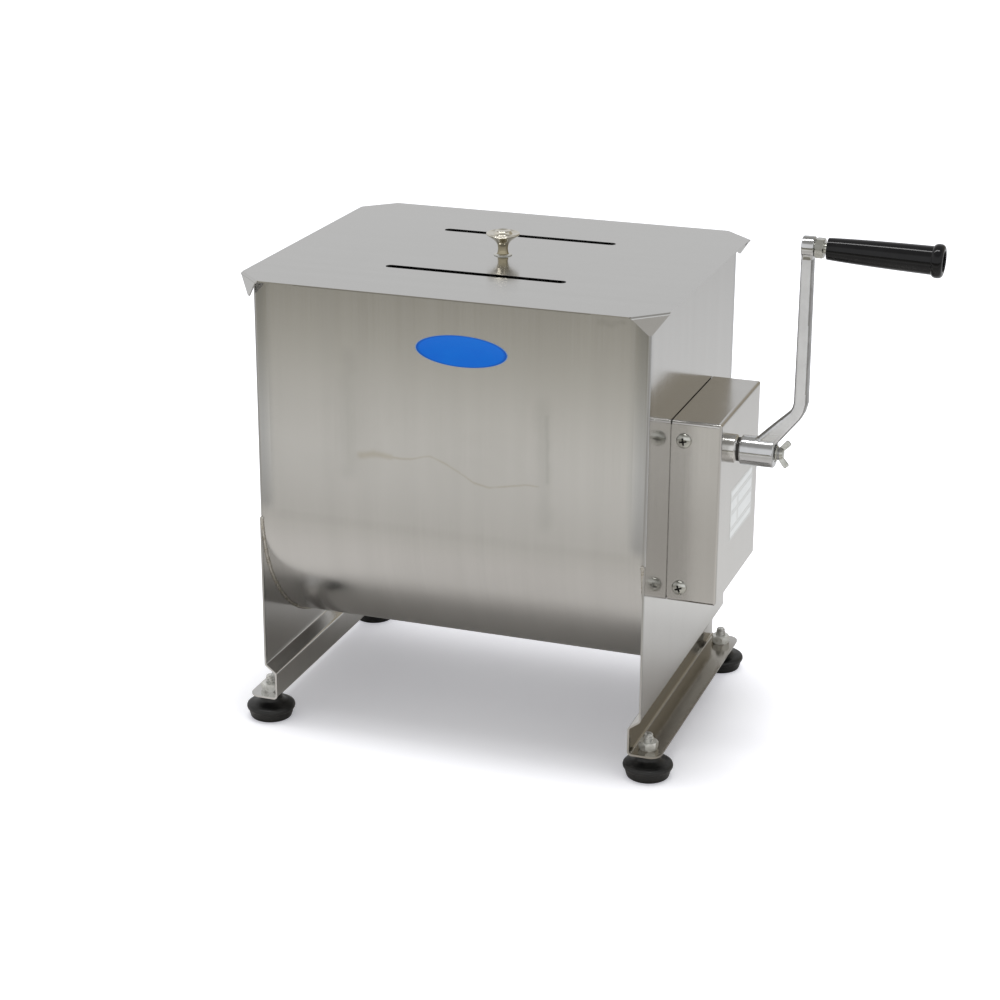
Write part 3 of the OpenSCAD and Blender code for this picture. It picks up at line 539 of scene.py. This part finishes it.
# Darker casting faces: a rougher as-cast skin, with painted shade in its colour.
cast_edge_shade = small_finish("casting_edge_painted_shade", (0.42, 0.42, 0.42), (0.30, 0.30, 0.295), 1.0, 0.30, 60.0, 0.10)
oiled = small_finish("oiled_gear_steel", (0.34, 0.33, 0.31), (0.20, 0.19, 0.17), 1.0, 0.30, 90.0, 0.08)
# A near-black oily finish: the crank washer's colour, and painted shade in the screws' cross recesses.
oil_and_recess_shade = small_finish("oil_black_and_recess_shade", (0.05, 0.048, 0.045), (0.025, 0.024, 0.022), 0.6, 0.35, 300.0, 0.10)
bronze = small_finish("bush_bronze", (0.62, 0.44, 0.22), (0.50, 0.34, 0.16), 1.0, 0.30, 80.0, 0.08)
paddle_finish = small_finish("welded_paddle_steel", (0.60, 0.595, 0.585), (0.50, 0.495, 0.485),
                             1.0, 0.30, 40.0, 0.12)
weld = small_finish("weld_bead", (0.60, 0.585, 0.55), (0.42, 0.39, 0.33), 1.0, 0.26, 260.0, 0.30)
nickel = small_finish("polished_nickel", (0.86, 0.84, 0.79), (0.76, 0.735, 0.66), 1.0, 0.06, 90.0, 0.02)
grip_black = small_finish("moulded_black", (0.006, 0.006, 0.007), (0.010, 0.010, 0.011),
                          0.0, 0.055, 60.0, 0.01)
grip_black.node_tree.nodes["Principled BSDF"].inputs["Specular IOR Level"].default_value = SOFT_SHINE
foot_black = small_finish("foot_rubber", (0.007, 0.007, 0.007), (0.014, 0.014, 0.013),
                          0.0, 0.40, 120.0, 0.2)
seal_black = small_finish("seal_rubber", (0.014, 0.014, 0.014), (0.024, 0.023, 0.022),
                          0.0, 0.5, 120.0, 0.2)
print("materials", len(bpy.data.materials))

# %% Tones that change with the height
def tone_by_height(finish, low, high, tone_low, tone_high):
    """Multiplies a finish's colour with a tone that changes between two heights."""
    tree = finish.node_tree
    base = tree.nodes["Principled BSDF"].inputs["Base Color"]
    place = add_node(tree, "TexCoord")
    split = add_node(tree, "SeparateXYZ")
    join(tree, place, "Object", split, "Vector")
    share = value_range(tree, split, "Z", 0.0, 1.0, low, high)
    tone = mix_colour(tree, share, "Result", tone_low, tone_high)
    both = add_node(tree, "Mix", {"Factor": 1.0}, data_type="RGBA", blend_type="MULTIPLY")
    tree.links.new(base.links[0].from_socket, both.inputs["A"])
    tree.links.new(tone, both.inputs["B"])
    tree.links.new(both.outputs["Result"], base)
    return split


crank_height = joints["crank_spin"]["pos_m"][2]
SATIN_AND_SHADE_SPAN = (crank_height + 9 * MM, crank_height + 22 * MM)
# Painted shade: the crank's hub is darker below the arm. Higher up the arm turns satin, with more
# roughness and less metal.
height = tone_by_height(chrome, *SATIN_AND_SHADE_SPAN, (0.70, 0.70, 0.70, 1), WHITE)
tree = chrome.node_tree
skin = tree.nodes["Principled BSDF"]
for label, low, high in (("Roughness", 0.15, 0.36), ("Metallic", 1.0, 0.62)):
    join(tree, value_range(tree, height, "Z", low, high, *SATIN_AND_SHADE_SPAN), "Result", skin, label)
# Painted reflection: the knob's neck is darkened to a golden brown, and near the top the tone stays
# light.
knob_low, knob_high = (corner.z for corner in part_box("lid_knob"))
tone_by_height(nickel, knob_low + 8 * MM, knob_high - 5 * MM,
               (0.45, 0.41, 0.31, 1), (0.92, 0.90, 0.86, 1))
print("satin from", round(SATIN_AND_SHADE_SPAN[0], 3), "to", round(SATIN_AND_SHADE_SPAN[1], 3))

# %% Every node gets its finish
by_slot = {
    "zinc_plate": zinc, "turned_steel": turned_steel, "crank_chrome": chrome, "gear_steel": oiled,
    "bush_bronze": bronze, "seal_rubber": seal_black, "foot_rubber": foot_black,
    "paddle_steel": paddle_finish, "grip_black": grip_black, "knob_nickel": nickel,
    "tank_steel": tank_steel,
}
by_node = {
    "left_side_plate": plate_steel, "right_side_plate": plate_steel, "lid": lid_steel,
    "gear_cover": cover_steel, "cover_bracket_front": cover_steel, "cover_bracket_rear": cover_steel,
    "crank_washer": oil_and_recess_shade, "foot_nuts": zinc_painted_lighter,
}
for name, piece in nodes.items():
    for slot in piece.material_slots:
        slot_name = slot.material.name.split(".")[0]
        slot.material = by_node.get(name) or by_slot[slot_name]
print("finished nodes", len(nodes))

# %% [markdown]
# ## Turned pieces: the knob, the grip and the feet
# These are bodies of revolution. Half an outline and the Spin operator would also give them, but the
# poles then have to be merged. Here a disc is drawn up step by step, like clay on a wheel: every step
# extrudes the top face and resizes it. Between the main points of the outline the steps follow a
# smooth curve, so that the light runs over the shape without corners. The knob's foot ring is painted
# brighter than the rest, a painted highlight, so its faces take a lighter copy of the zinc finish.

# %% Lathe helpers
SAME = 1e-6


def smooth_outline(points, steps=6):
    """Radius and height in metres on a smooth curve through outline points in millimetres."""
    ends = [points[0]] + list(points) + [points[-1]]
    curve = []
    for before, start, end, after in zip(ends, ends[1:], ends[2:], ends[3:]):
        for step in range(steps):
            t = step / steps
            curve.append(tuple(
                MM * 0.5 * (2 * b + (c - a) * t + (2 * a - 5 * b + 4 * c - d) * t * t
                            + (3 * b - a - 3 * c + d) * t ** 3)
                for a, b, c, d in zip(before, start, end, after)
            ))
    curve.append(tuple(MM * c for c in points[-1]))
    return curve


def only(*pieces):
    """Selects these pieces alone and makes the first one active."""
    bpy.ops.object.select_all(action="DESELECT")
    for piece in pieces:
        piece.select_set(True)
    bpy.context.view_layer.objects.active = pieces[0]


def edit_all():
    """Enters edit mode with everything selected."""
    bpy.ops.object.mode_set(mode="EDIT")
    bpy.ops.mesh.select_all(action="SELECT")


def outwards():
    """Turns all faces outwards and leaves edit mode."""
    bpy.ops.mesh.select_all(action="SELECT")
    bpy.ops.mesh.normals_make_consistent(inside=False)
    bpy.ops.object.mode_set(mode="OBJECT")


def settle(piece, seat=(0, 0, 0), turn=(0, 0, 0)):
    """Moves a piece that was made at the origin to its seat, and puts the place into its mesh."""
    only(piece)
    piece.rotation_euler = turn
    piece.location = seat
    bpy.ops.object.transform_apply(location=True, rotation=True, scale=True)
    return piece


def turned(name, outline, sides=64):
    """Draws a disc up along an outline of (radius, height) and closes both ends."""
    radius, height = outline[0]
    bpy.ops.mesh.primitive_circle_add(vertices=sides, radius=radius, fill_type="NGON")
    piece = settle(bpy.context.object, (0, 0, height))
    piece.name = name
    edit_all()
    for wider, higher in outline[1:]:
        if abs(wider - radius) + abs(higher - height) < SAME:
            continue
        bpy.ops.mesh.extrude_region_move(TRANSFORM_OT_translate={"value": (0, 0, higher - height)})
        grow = wider / radius
        bpy.ops.transform.resize(value=(grow, grow, 1), center_override=(0, 0, higher))
        radius, height = wider, higher
    outwards()
    return piece


def paint(piece, finishes, choose):
    """Gives a piece several finishes; choose(face) is the number of the one that a face takes."""
    for finish in finishes:
        piece.data.materials.append(finish)
    for face in piece.data.polygons:
        face.material_index = choose(face)


def dress(piece, finish, body, replaced=(), angle=35):
    """Gives a piece its finish, unless it is painted, its body and the nodes that it stands for."""
    only(piece)
    bpy.ops.object.shade_smooth_by_angle(angle=math.radians(angle))
    if finish:
        piece.data.materials.append(finish)
    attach(piece, body)
    if replaced:
        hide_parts(*replaced)
    return piece


def middle(node):
    low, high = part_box(node)
    return (low + high) / 2


def underside(node):
    """The middle of a node, at its lowest height."""
    seat = middle(node)
    seat.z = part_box(node)[0].z
    return seat


print("lathe helpers ready")

# %% The lid's knob
RING_HIGH = 1.2 * MM
knob_outline = smooth_outline([
    (6.9, 0.0), (7.25, 0.15), (7.3, 0.45), (7.0, 0.75), (5.6, 0.95), (4.6, 1.6), (4.15, 3.6),
    (4.0, 5.6), (4.25, 7.6), (4.9, 9.4), (6.2, 11.2), (8.2, 12.9), (10.6, 14.6), (12.5, 16.0),
    (13.3, 16.9), (13.45, 17.4), (13.2, 17.9), (12.5, 18.1), (11.2, 17.7), (9.4, 17.2), (7.9, 17.3),
    (7.1, 18.3), (6.5, 19.5), (5.6, 20.1), (4.6, 19.8), (2.6, 19.3), (0.3, 19.2)])
knob = turned("turned_lid_knob", knob_outline, 72)
# The foot ring takes the lighter zinc copy as a painted highlight.
paint(knob, (nickel, zinc_painted_lighter), lambda face: int(face.center.z < RING_HIGH))
settle(knob, underside("lid_knob"))
dress(knob, None, "lid", ["lid_knob"])
print("knob faces", len(knob.data.polygons))

# %% The hand grip
boss_middle = Vector(joints["grip_spin"]["pos_m"])
spindle_way = Vector(joints["grip_spin"]["axis"])
DROOP = math.atan2(-spindle_way.z, spindle_way.x)
GRIP = 86.15
GRIP_FROM = 14.4
grip_outline = smooth_outline([
    (5.4, 0.0), (6.9, 0.05), (7.9, 0.5), (8.35, 1.8), (9.3, 22), (10.1, 48), (10.65, GRIP - 9.4),
    (10.8, GRIP - 8.4), (11.9, GRIP - 7.3), (12.55, GRIP - 5.7), (12.65, GRIP - 4), (12.35, GRIP - 2.1),
    (11.3, GRIP - 0.65), (9.8, GRIP - 0.05), (8.5, GRIP), (7.65, GRIP - 0.5), (7.6, GRIP - 3.0),
    (7.6, GRIP - 5.9), (5.0, GRIP - 6.0), (4.2, GRIP - 6.0)], 5)
grip = settle(turned("moulded_grip", grip_outline, 72), boss_middle + spindle_way * GRIP_FROM * MM,
              (0, math.pi / 2 + DROOP, 0))
dress(grip, grip_black, "grip", ["hand_grip"])
print("grip length", GRIP, "mm, droop", round(math.degrees(DROOP), 2))

# %% The rubber feet
CORNERS = ("front_left", "front_right", "rear_left", "rear_right")
foot_outline = smooth_outline([
    (13.0, 0.0), (14.8, 0.12), (16.4, 0.6), (17.2, 2.0), (18.5, 6.8), (18.75, 7.3), (19.4, 7.9),
    (19.9, 9.1), (19.9, 10.2), (19.3, 11.5), (17.4, 12.4), (13.6, 13.4), (10.6, 15), (9.4, 17),
    (9.2, 21.8), (8.6, 22.0), (4.2, 22.0)], 5)
for corner in CORNERS:
    foot = settle(turned("rubber_foot_" + corner, foot_outline), underside("foot_" + corner))
    dress(foot, foot_black, "frame", ["foot_" + corner])
print("feet", len(CORNERS))

# %% [markdown]
# ## The cast crank
# The arm is a casting: hub, bar and boss flow into each other. Bevels on the solid would not give
# that, because its edges meet at many angles. Instead the three forms are modelled roughly, joined
# and turned into one skin by the Remesh modifier, and a Smooth modifier rounds it as polishing does.
# The bar is a loft: rounded sections are set along its path and bridged. The bores are cut last.
# Only the flat faces of the casting are polished. Faces that look sideways take a darker, rougher
# finish, and their darker colour is painted shade. The wing screw is made in the same way, and the
# same dark finish in the groove behind its head is painted shade and grime.

# %% Casting helpers
def joined(name, parts):
    only(*parts)
    bpy.ops.object.join()
    parts[0].name = name
    return parts[0]


def apply_modifier(piece, kind, **settings):
    only(piece)
    change = piece.modifiers.new(kind.lower(), kind)
    for name, value in settings.items():
        setattr(change, name, value)
    bpy.ops.object.modifier_apply(modifier=change.name)


def section(at, lean, half_wide, half_deep):
    """A loop with rounded corners across the bar, leaning from upright towards +X."""
    bpy.ops.mesh.primitive_plane_add(size=2)
    ring = bpy.context.object
    edit_all()
    bpy.ops.mesh.bevel(offset=0.5, segments=4, affect="VERTICES")
    bpy.ops.mesh.select_all(action="SELECT")
    bpy.ops.mesh.delete(type="ONLY_FACE")
    bpy.ops.object.mode_set(mode="OBJECT")
    ring.scale = (half_wide, half_deep, 1)
    return settle(ring, at, (0, lean, 0))


def loft(name, rings):
    """Bridges a row of loops and closes both ends."""
    bar = joined(name, rings)
    edit_all()
    bpy.ops.mesh.bridge_edge_loops()
    bpy.ops.mesh.select_all(action="SELECT")
    bpy.ops.mesh.fill_holes(sides=0)
    outwards()
    return bar


def one_skin(name, parts, voxel, rounds):
    """Joins rough forms and melts them into one smooth skin."""
    piece = joined(name, parts)
    apply_modifier(piece, "REMESH", mode="VOXEL", voxel_size=voxel)
    apply_modifier(piece, "SMOOTH", factor=0.5, iterations=rounds)
    return piece


def cut(piece, tool):
    """Takes the tool's shape out of the piece and removes the tool."""
    apply_modifier(piece, "BOOLEAN", operation="DIFFERENCE", solver="EXACT", object=tool)
    bpy.data.objects.remove(tool)


print("casting helpers ready")

# %% The crank arm
crank_axis = middle("crank_washer")
HUB_X0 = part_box("crank_arm")[0].x
HUB_X1 = HUB_X0 + 27 * MM
BOSS_X = HUB_X1 + 13.2 * MM
ARM_X = HUB_X1 + 18 * MM
ARM_HALF_DEEP = 6.1 * MM
ARM_VOXEL = 0.5 * MM
REACH = boss_middle.z - crank_axis.z
BAR_LOW, BOSS_LOW = crank_axis.z + 12 * MM, boss_middle.z - 9 * MM
FLAT_FROM = 0.80
BORE_HALF = 40 * MM
along_x = (0, math.pi / 2, 0)
hub_end = Vector((HUB_X1, crank_axis.y, crank_axis.z))
hub_outline = smooth_outline([
    (10.4, 0), (11.0, 0.15), (11.6, 1.1), (11.6, 3), (11.6, 24.6), (11.4, 25.8), (10.6, 26.8),
    (9.6, 27)], 3)
boss_outline = smooth_outline([
    (7.2, 0), (7.8, 0.1), (8.2, 0.8), (8.2, 2), (8.2, 7.5), (8.2, 8.7), (7.8, 9.4), (7.2, 9.5)], 3)
hub = settle(turned("hub", hub_outline), (HUB_X0, crank_axis.y, crank_axis.z), along_x)
boss = settle(turned("boss", boss_outline), (BOSS_X, crank_axis.y, crank_axis.z + REACH), along_x)
stations = [(-32.0, 2.0, 43, 7.5), (-20.0, 15.0, 43, 6.7), (-3.6, 33.0, 36, 5.1),
            (-1.3, 37.4, 22, 5.1), (0.0, 43.0, 4, 5.2), (-0.1, 70.0, 0, 5.0),
            (-0.4, REACH / MM - 3, 0, 4.5)]
rings = [section((ARM_X + x * MM, crank_axis.y, crank_axis.z + z * MM), math.radians(lean),
                 half * MM, ARM_HALF_DEEP) for x, z, lean, half in stations]
arm = one_skin("cast_crank_arm", [loft("bar", rings), hub, boss], ARM_VOXEL, 5)
bores = (("shaft_bore", hub_end, 0.0, 7.05), ("spindle_bore", boss_middle, DROOP, 4.03))
for name, at, lean, wide in bores:
    tool = turned(name, [(wide * MM, -BORE_HALF), (wide * MM, BORE_HALF)], 48)
    cut(arm, settle(tool, at, (0, math.pi / 2 + lean, 0)))


def arm_finish(face):
    """The boss is polished, the bar's sideways faces take the darker, painted-shade finish, and the
    rest is chromed.
    """
    if face.center.z > BOSS_LOW:
        return 2
    return int(face.center.z > BAR_LOW and abs(face.normal.y) < FLAT_FROM)


paint(arm, (chrome, cast_edge_shade, polish), arm_finish)
dress(arm, None, "crank", ["crank_arm"], 40)
print("crank faces", len(arm.data.polygons))

# %% The wing screw
BLADE = (8.4 * MM, 2.8 * MM, 3.8 * MM)
BLADE_WIDER = 1.22
BLADE_TIP = ((1.9, 0.96), (0.7, 0.74))
BLADE_LEAN = math.radians(48)
SCREW_TURN = math.radians(-22)
SCREW_VOXEL = 0.25 * MM
NECK = (0.5 * MM, 1.7 * MM, 3.6 * MM)
NECK_R = 5.3 * MM


def pick(piece, wanted):
    """Selects the faces for which wanted(face) is true, and leaves edit mode on."""
    only(piece)
    bpy.ops.object.mode_set(mode="EDIT")
    bpy.ops.mesh.select_mode(type="FACE")
    bpy.ops.mesh.select_all(action="DESELECT")
    bpy.ops.object.mode_set(mode="OBJECT")
    for face in piece.data.polygons:
        face.select = wanted(face)
    bpy.ops.object.mode_set(mode="EDIT")


def wing(side):
    """A flat bar that widens to a rounded end, leaning out of the screw's head."""
    bpy.ops.mesh.primitive_cube_add(size=1)
    blade = bpy.context.object
    blade.scale = BLADE
    settle(blade, (BLADE[0] / 2, 0, 0))
    pick(blade, lambda face: face.normal.x > 0.9)
    bpy.ops.transform.resize(value=(1, 1, BLADE_WIDER))
    for forward, narrow in BLADE_TIP:
        bpy.ops.mesh.extrude_region_move(TRANSFORM_OT_translate={"value": (forward * MM, 0, 0)})
        bpy.ops.transform.resize(value=(1, 1, narrow))
    bpy.ops.object.mode_set(mode="OBJECT")
    return settle(blade, (2.6 * MM, 0, side * 1.5 * MM), (0, -side * BLADE_LEAN, 0))


def in_groove(face):
    """1 for the faces of the screw's foot and of the groove behind its head, which take the
    painted-shade finish, otherwise 0.
    """
    x, y, z = face.center
    return int(x < NECK[0] or (NECK[1] < x < NECK[2] and math.hypot(y, z) < NECK_R))


screw_outline = smooth_outline([
    (5.4, 0.1), (5.9, 0.3), (6.0, 0.8), (5.9, 1.4), (5.2, 1.75), (4.9, 2.4), (4.4, 4.4), (3.7, 5.9),
    (2.4, 6.4)], 3)
screw_head = settle(turned("head", screw_outline), turn=along_x)
wing_screw = one_skin("cast_wing_screw", [screw_head, wing(1), wing(-1)], SCREW_VOXEL, 3)
paint(wing_screw, (zinc, cast_edge_shade), in_groove)
settle(wing_screw, hub_end, (SCREW_TURN, 0, 0))
dress(wing_screw, None, "crank", ["wing_screw"], 50)
print("wing screw", [round(d / MM, 1) for d in wing_screw.dimensions])

# %% [markdown]
# ## Threaded studs
# The feet hang on threaded studs. A thread is one ridge that climbs round a core, so the ridge is a
# small closed profile that the Screw modifier winds up, and the core is turned. The four studs are
# copies of the first one, joined into one piece because they stand for one node.

# %% Threaded studs
PITCH = 1.25 * MM
RIDGE_R, RIDGE_AT, RIDGE_FROM = 0.56 * MM, 3.4 * MM, 0.9 * MM
TURN_STEPS = 20
STUD_LOW, STUD_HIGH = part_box("foot_studs")[0].z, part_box("foot_studs")[1].z
STUD_LONG = STUD_HIGH - STUD_LOW


def copy_of(piece, name):
    only(piece)
    bpy.ops.object.duplicate(linked=False)
    twin = bpy.context.object
    twin.name = name
    return twin


def sew(sides):
    """Merges doubled points, closes holes with up to that many sides and leaves edit mode."""
    bpy.ops.mesh.select_all(action="SELECT")
    bpy.ops.mesh.remove_doubles(threshold=SAME)
    bpy.ops.mesh.fill_holes(sides=sides)
    outwards()


def threaded_stud():
    core = turned("core", [(3.0 * MM, 0), (3.45 * MM, 0.5 * MM), (3.45 * MM, STUD_LONG - 0.9 * MM),
                           (2.7 * MM, STUD_LONG)], 32)
    bpy.ops.mesh.primitive_circle_add(vertices=4, radius=RIDGE_R)
    ridge = settle(bpy.context.object, (RIDGE_AT, 0, 0), (math.pi / 2, 0, 0))
    turns = int((STUD_LONG - 2.6 * MM) / PITCH)
    apply_modifier(ridge, "SCREW", screw_offset=PITCH, iterations=turns, steps=TURN_STEPS,
                   render_steps=TURN_STEPS)
    bpy.ops.object.mode_set(mode="EDIT")
    sew(6)
    settle(ridge, (0, 0, RIDGE_FROM))
    return joined("stud", [core, ridge])


first_stud = threaded_stud()
studs = []
for corner in CORNERS:
    seat = middle("foot_" + corner)
    studs.append(settle(copy_of(first_stud, "stud_" + corner), (seat.x, seat.y, STUD_LOW)))
bpy.data.objects.remove(first_stud)
threads = joined("threaded_foot_studs", studs)
dress(threads, thread_zinc, "frame", ["foot_studs"], 30)
print("stud faces", len(threads.data.polygons))

# %% [markdown]
# ## Cross-head screws
# The cover is held by four pan-head screws. The head is turned, and its cross recess is cut with two
# tapered bars. The recess is painted dark as shade: the bars carry a dark finish in their second
# material slot, and the faces that the cut leaves behind keep that slot.

# %% Cross-head screws
HEAD_R, HEAD_H = 6.0, 3.55
CROSS = (7.4 * MM, 1.65 * MM, 2.4 * MM)
CROSS_MIDDLE = 2.85 * MM
CROSS_TAPER = (0.42, 0.62, 1)
LOW_TURN, HIGH_TURN, REAR_TURN = 0.35, 0.18, 0.45
head_outline = smooth_outline([
    (5.55, 0.0), (5.95, 0.35), (6.0, 0.8), (5.7, 1.5), (5.0, 2.25), (3.9, 2.95), (2.6, 3.35),
    (1.2, 3.52), (0.25, HEAD_H)], 4)


def cross_bar(turn):
    """A bar with slanted ends, narrower at the bottom of the recess."""
    bpy.ops.mesh.primitive_cube_add(size=1)
    bar = bpy.context.object
    bar.scale = CROSS
    settle(bar, (0, 0, CROSS_MIDDLE))
    pick(bar, lambda face: face.normal.z < -0.9)
    bpy.ops.transform.resize(value=CROSS_TAPER)
    bpy.ops.object.mode_set(mode="OBJECT")
    # The recess faces are painted dark as shade.
    paint(bar, (zinc, oil_and_recess_shade), lambda face: 1)
    return settle(bar, turn=(0, 0, turn))


def pan_head(turn):
    head = turned("head", head_outline, 48)
    paint(head, (zinc, oil_and_recess_shade), lambda face: 0)
    for quarter in (0, math.pi / 2):
        cut(head, cross_bar(turn + quarter))
    return head


screw_x = middle("cover_screws").x
screw_low, screw_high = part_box("cover_screws")
screws = []
for height, turn in ((screw_low.z + HEAD_R * MM, LOW_TURN), (screw_high.z - HEAD_R * MM, HIGH_TURN)):
    for side, face_y in ((1, COVER_FRONT), (-1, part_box("gear_cover")[1].y)):
        head = pan_head(turn if side > 0 else turn + REAR_TURN)
        screws.append(settle(head, (screw_x, face_y, height), (side * math.pi / 2, 0, 0)))
cross_screws = joined("cross_head_screws", screws)
dress(cross_screws, None, "frame", ["cover_screws"], 28)
print("screw faces", len(cross_screws.data.polygons))

# %% [markdown]
# ## Weld beads
# The trough is welded to the side plates from outside, along its round bottom. A bead is a small
# round section carried along that arc, so a circle is spun about the tank's axis. Each end gets a
# lump where the welder started or stopped.

# %% Weld beads
AXIS_Z = joints["paddle_spin"]["pos_m"][2]
BEAD_R = 1.25 * MM
BEAD_STEPS = 120
PLATE_IN = 158.5 * MM
SUNK = 0.3 * MM
ARC = -FRONT + 0.4 * MM
BEAD_START = math.radians(4.5)
LUMP = (1.5 * MM, 1.3 * MM, 2.4 * MM)
LUMP_ROUGH = 0.22 * MM
LUMP_BELOW = 0.6 * MM


def weld_lump(at, seed):
    bpy.ops.mesh.primitive_ico_sphere_add(subdivisions=3, radius=1.0)
    lump = bpy.context.object
    lump.scale = LUMP
    settle(lump, at)
    edit_all()
    bpy.ops.transform.vertex_random(offset=LUMP_ROUGH, uniform=0.0, normal=1.0, seed=seed)
    bpy.ops.object.mode_set(mode="OBJECT")
    return lump


def weld_bead(name, side):
    x = TANK_X + side * (PLATE_IN - SUNK)
    bpy.ops.mesh.primitive_circle_add(vertices=10, radius=BEAD_R)
    bead = settle(bpy.context.object, (x, -ARC, 0))
    settle(bead, (0, 0, AXIS_Z), (BEAD_START, 0, 0))
    edit_all()
    bpy.ops.mesh.spin(steps=BEAD_STEPS, angle=2 * BEAD_START - math.pi, center=(x, 0, AXIS_Z),
                      axis=(1, 0, 0))
    sew(12)
    low = AXIS_Z - ARC * math.sin(BEAD_START)
    reach = ARC * math.cos(BEAD_START)
    lumps = [weld_lump((x, wall * reach, low - LUMP_BELOW), 3 + wall + 5 * side) for wall in (-1, 1)]
    return dress(joined(name, [bead] + lumps), weld, "frame", (), 60)


for side, name in ((-1, "weld_bead_left"), (1, "weld_bead_right")):
    bead = weld_bead(name, side)
    heights = [vertex.co.z / MM for vertex in bead.data.vertices]
    print(name, "from", round(min(heights), 1), "to", round(max(heights), 1), "mm")

# %% [markdown]
# ## The blank oval and the blank label
# An oval sticker sits on the front and a label on the cover, both blank. The oval is a disc,
# stretched and given a raised rim; its tone follows the distance from its middle. The label is a
# thin white sheet divided by bisecting cuts. Every field is inset, pressed down under the steel and
# raised again a little further in, which leaves thin lines between blank fields.

# %% The blank oval
OVAL_AT = on_front(12.0, 336.0)
OVAL_HALF = (37.4 * MM, 12.5 * MM)
OVAL_THICK, OVAL_ROOT = 0.25 * MM, 0.05 * MM
OVAL_ROUGH = 0.28


def lin(*levels):
    """Screen levels from 0 to 255 as the linear colour that a shader takes."""
    return tuple(
        c / 12.92 if c <= 0.04045 else ((c + 0.055) / 1.055) ** 2.4
        for c in (level / 255 for level in levels)
    ) + (1.0,)


def oval_finish():
    finish, tree, skin, place = new_finish("blue_sticker", 0.0)
    skin.inputs["Roughness"].default_value = OVAL_ROUGH
    skin.inputs["Specular IOR Level"].default_value = SOFT_SHINE
    size = (1 / OVAL_HALF[0], 1.0, 1 / OVAL_HALF[1])
    centre = tuple(-c * s for c, s in zip(OVAL_AT, size))
    shift = add_node(tree, "Mapping", {"Scale": size, "Location": centre})
    reach = add_node(tree, "VectorMath", operation="LENGTH")
    drift = add_node(tree, "Group", {"Size": 20.0, "Low": 0.3, "High": 0.7}, node_tree=handling)
    join_all(
        tree, (place, "Object", shift, "Vector"), (shift, "Vector", reach, 0),
        (place, "Object", drift, "Vector"),
    )
    rim = value_range(tree, reach, "Value", 0.0, 1.0, 0.90, 0.96)
    edge = value_range(tree, reach, "Value", 0.0, 1.0, 0.975, 0.985)
    field = mix_colour(tree, drift, "Mask", lin(6, 122, 248), lin(2, 132, 252))
    ringed = mix_colour(tree, rim, "Result", field, lin(6, 100, 214))
    pale = mix_colour(tree, edge, "Result", ringed, lin(150, 178, 214))
    tree.links.new(pale, skin.inputs["Base Color"])
    return finish


bpy.ops.mesh.primitive_circle_add(vertices=96, radius=1.0, fill_type="NGON")
oval = bpy.context.object
oval.name = "blank_oval_sticker"
oval.scale = (*OVAL_HALF, 1)
settle(oval)
edit_all()
bpy.ops.mesh.extrude_region_move(TRANSFORM_OT_translate={"value": (0, 0, OVAL_THICK)})
for width, step in ((0.5, 0.0), (0.3, -0.05)):
    bpy.ops.mesh.inset(thickness=width * MM, depth=step * MM)
outwards()
settle(oval, (OVAL_AT[0], OVAL_AT[1] + OVAL_ROOT, OVAL_AT[2]), (math.pi / 2, 0, 0))
dress(oval, oval_finish(), "frame", (), 30)
print("oval", [round(d / MM, 1) for d in oval.dimensions])

# %% The blank label
LABEL_Y, LABEL_Z = (-25.0, 45.0), (171.0, 213.0)
LABEL_PROUD, LABEL_ROOT = 0.12 * MM, 0.25 * MM
ROWS, COLUMNS = (-0.30, 0.02, 0.30), (-0.17, 0.17)
DIVIDED = 0.25
label_white = small_finish("label_white", (0.95, 0.975, 0.985), (0.91, 0.94, 0.95),
                           0.85, 0.18, 90.0, 0.02)

bpy.ops.mesh.primitive_plane_add(size=1)
label = bpy.context.object
label.name = "blank_cover_label"
wide, high = (LABEL_Y[1] - LABEL_Y[0]) * MM, (LABEL_Z[1] - LABEL_Z[0]) * MM
label.scale = (wide, high, 1)
settle(label)
bpy.ops.object.mode_set(mode="EDIT")
for share in ROWS:
    bpy.ops.mesh.select_all(action="SELECT")
    bpy.ops.mesh.bisect(plane_co=(0, share * high, 0), plane_no=(0, 1, 0))
bpy.ops.object.mode_set(mode="OBJECT")
pick(label, lambda face: abs(face.center.y) < DIVIDED * high)
for share in COLUMNS:
    bpy.ops.mesh.bisect(plane_co=(share * wide, 0, 0), plane_no=(1, 0, 0))
bpy.ops.mesh.select_all(action="SELECT")
bpy.ops.mesh.extrude_region_move(TRANSFORM_OT_translate={"value": (0, 0, LABEL_PROUD + LABEL_ROOT)})
for width, step in ((0.7, 0.0), (0.05, -0.2), (0.7, 0.0), (0.05, 0.2)):
    bpy.ops.mesh.inset(thickness=width * MM, depth=step * MM, use_individual=True)
outwards()
settle(label, (COVER_X - LABEL_ROOT, sum(LABEL_Y) / 2 * MM, sum(LABEL_Z) / 2 * MM),
       (math.pi / 2, 0, math.pi / 2))
dress(label, label_white, "frame", (), 30)
print("label faces", len(label.data.polygons))

# %% [markdown]
# ## Clearing the selection
# At the end nothing is left selected.

# %% Clear the selection
bpy.ops.object.select_all(action="DESELECT")
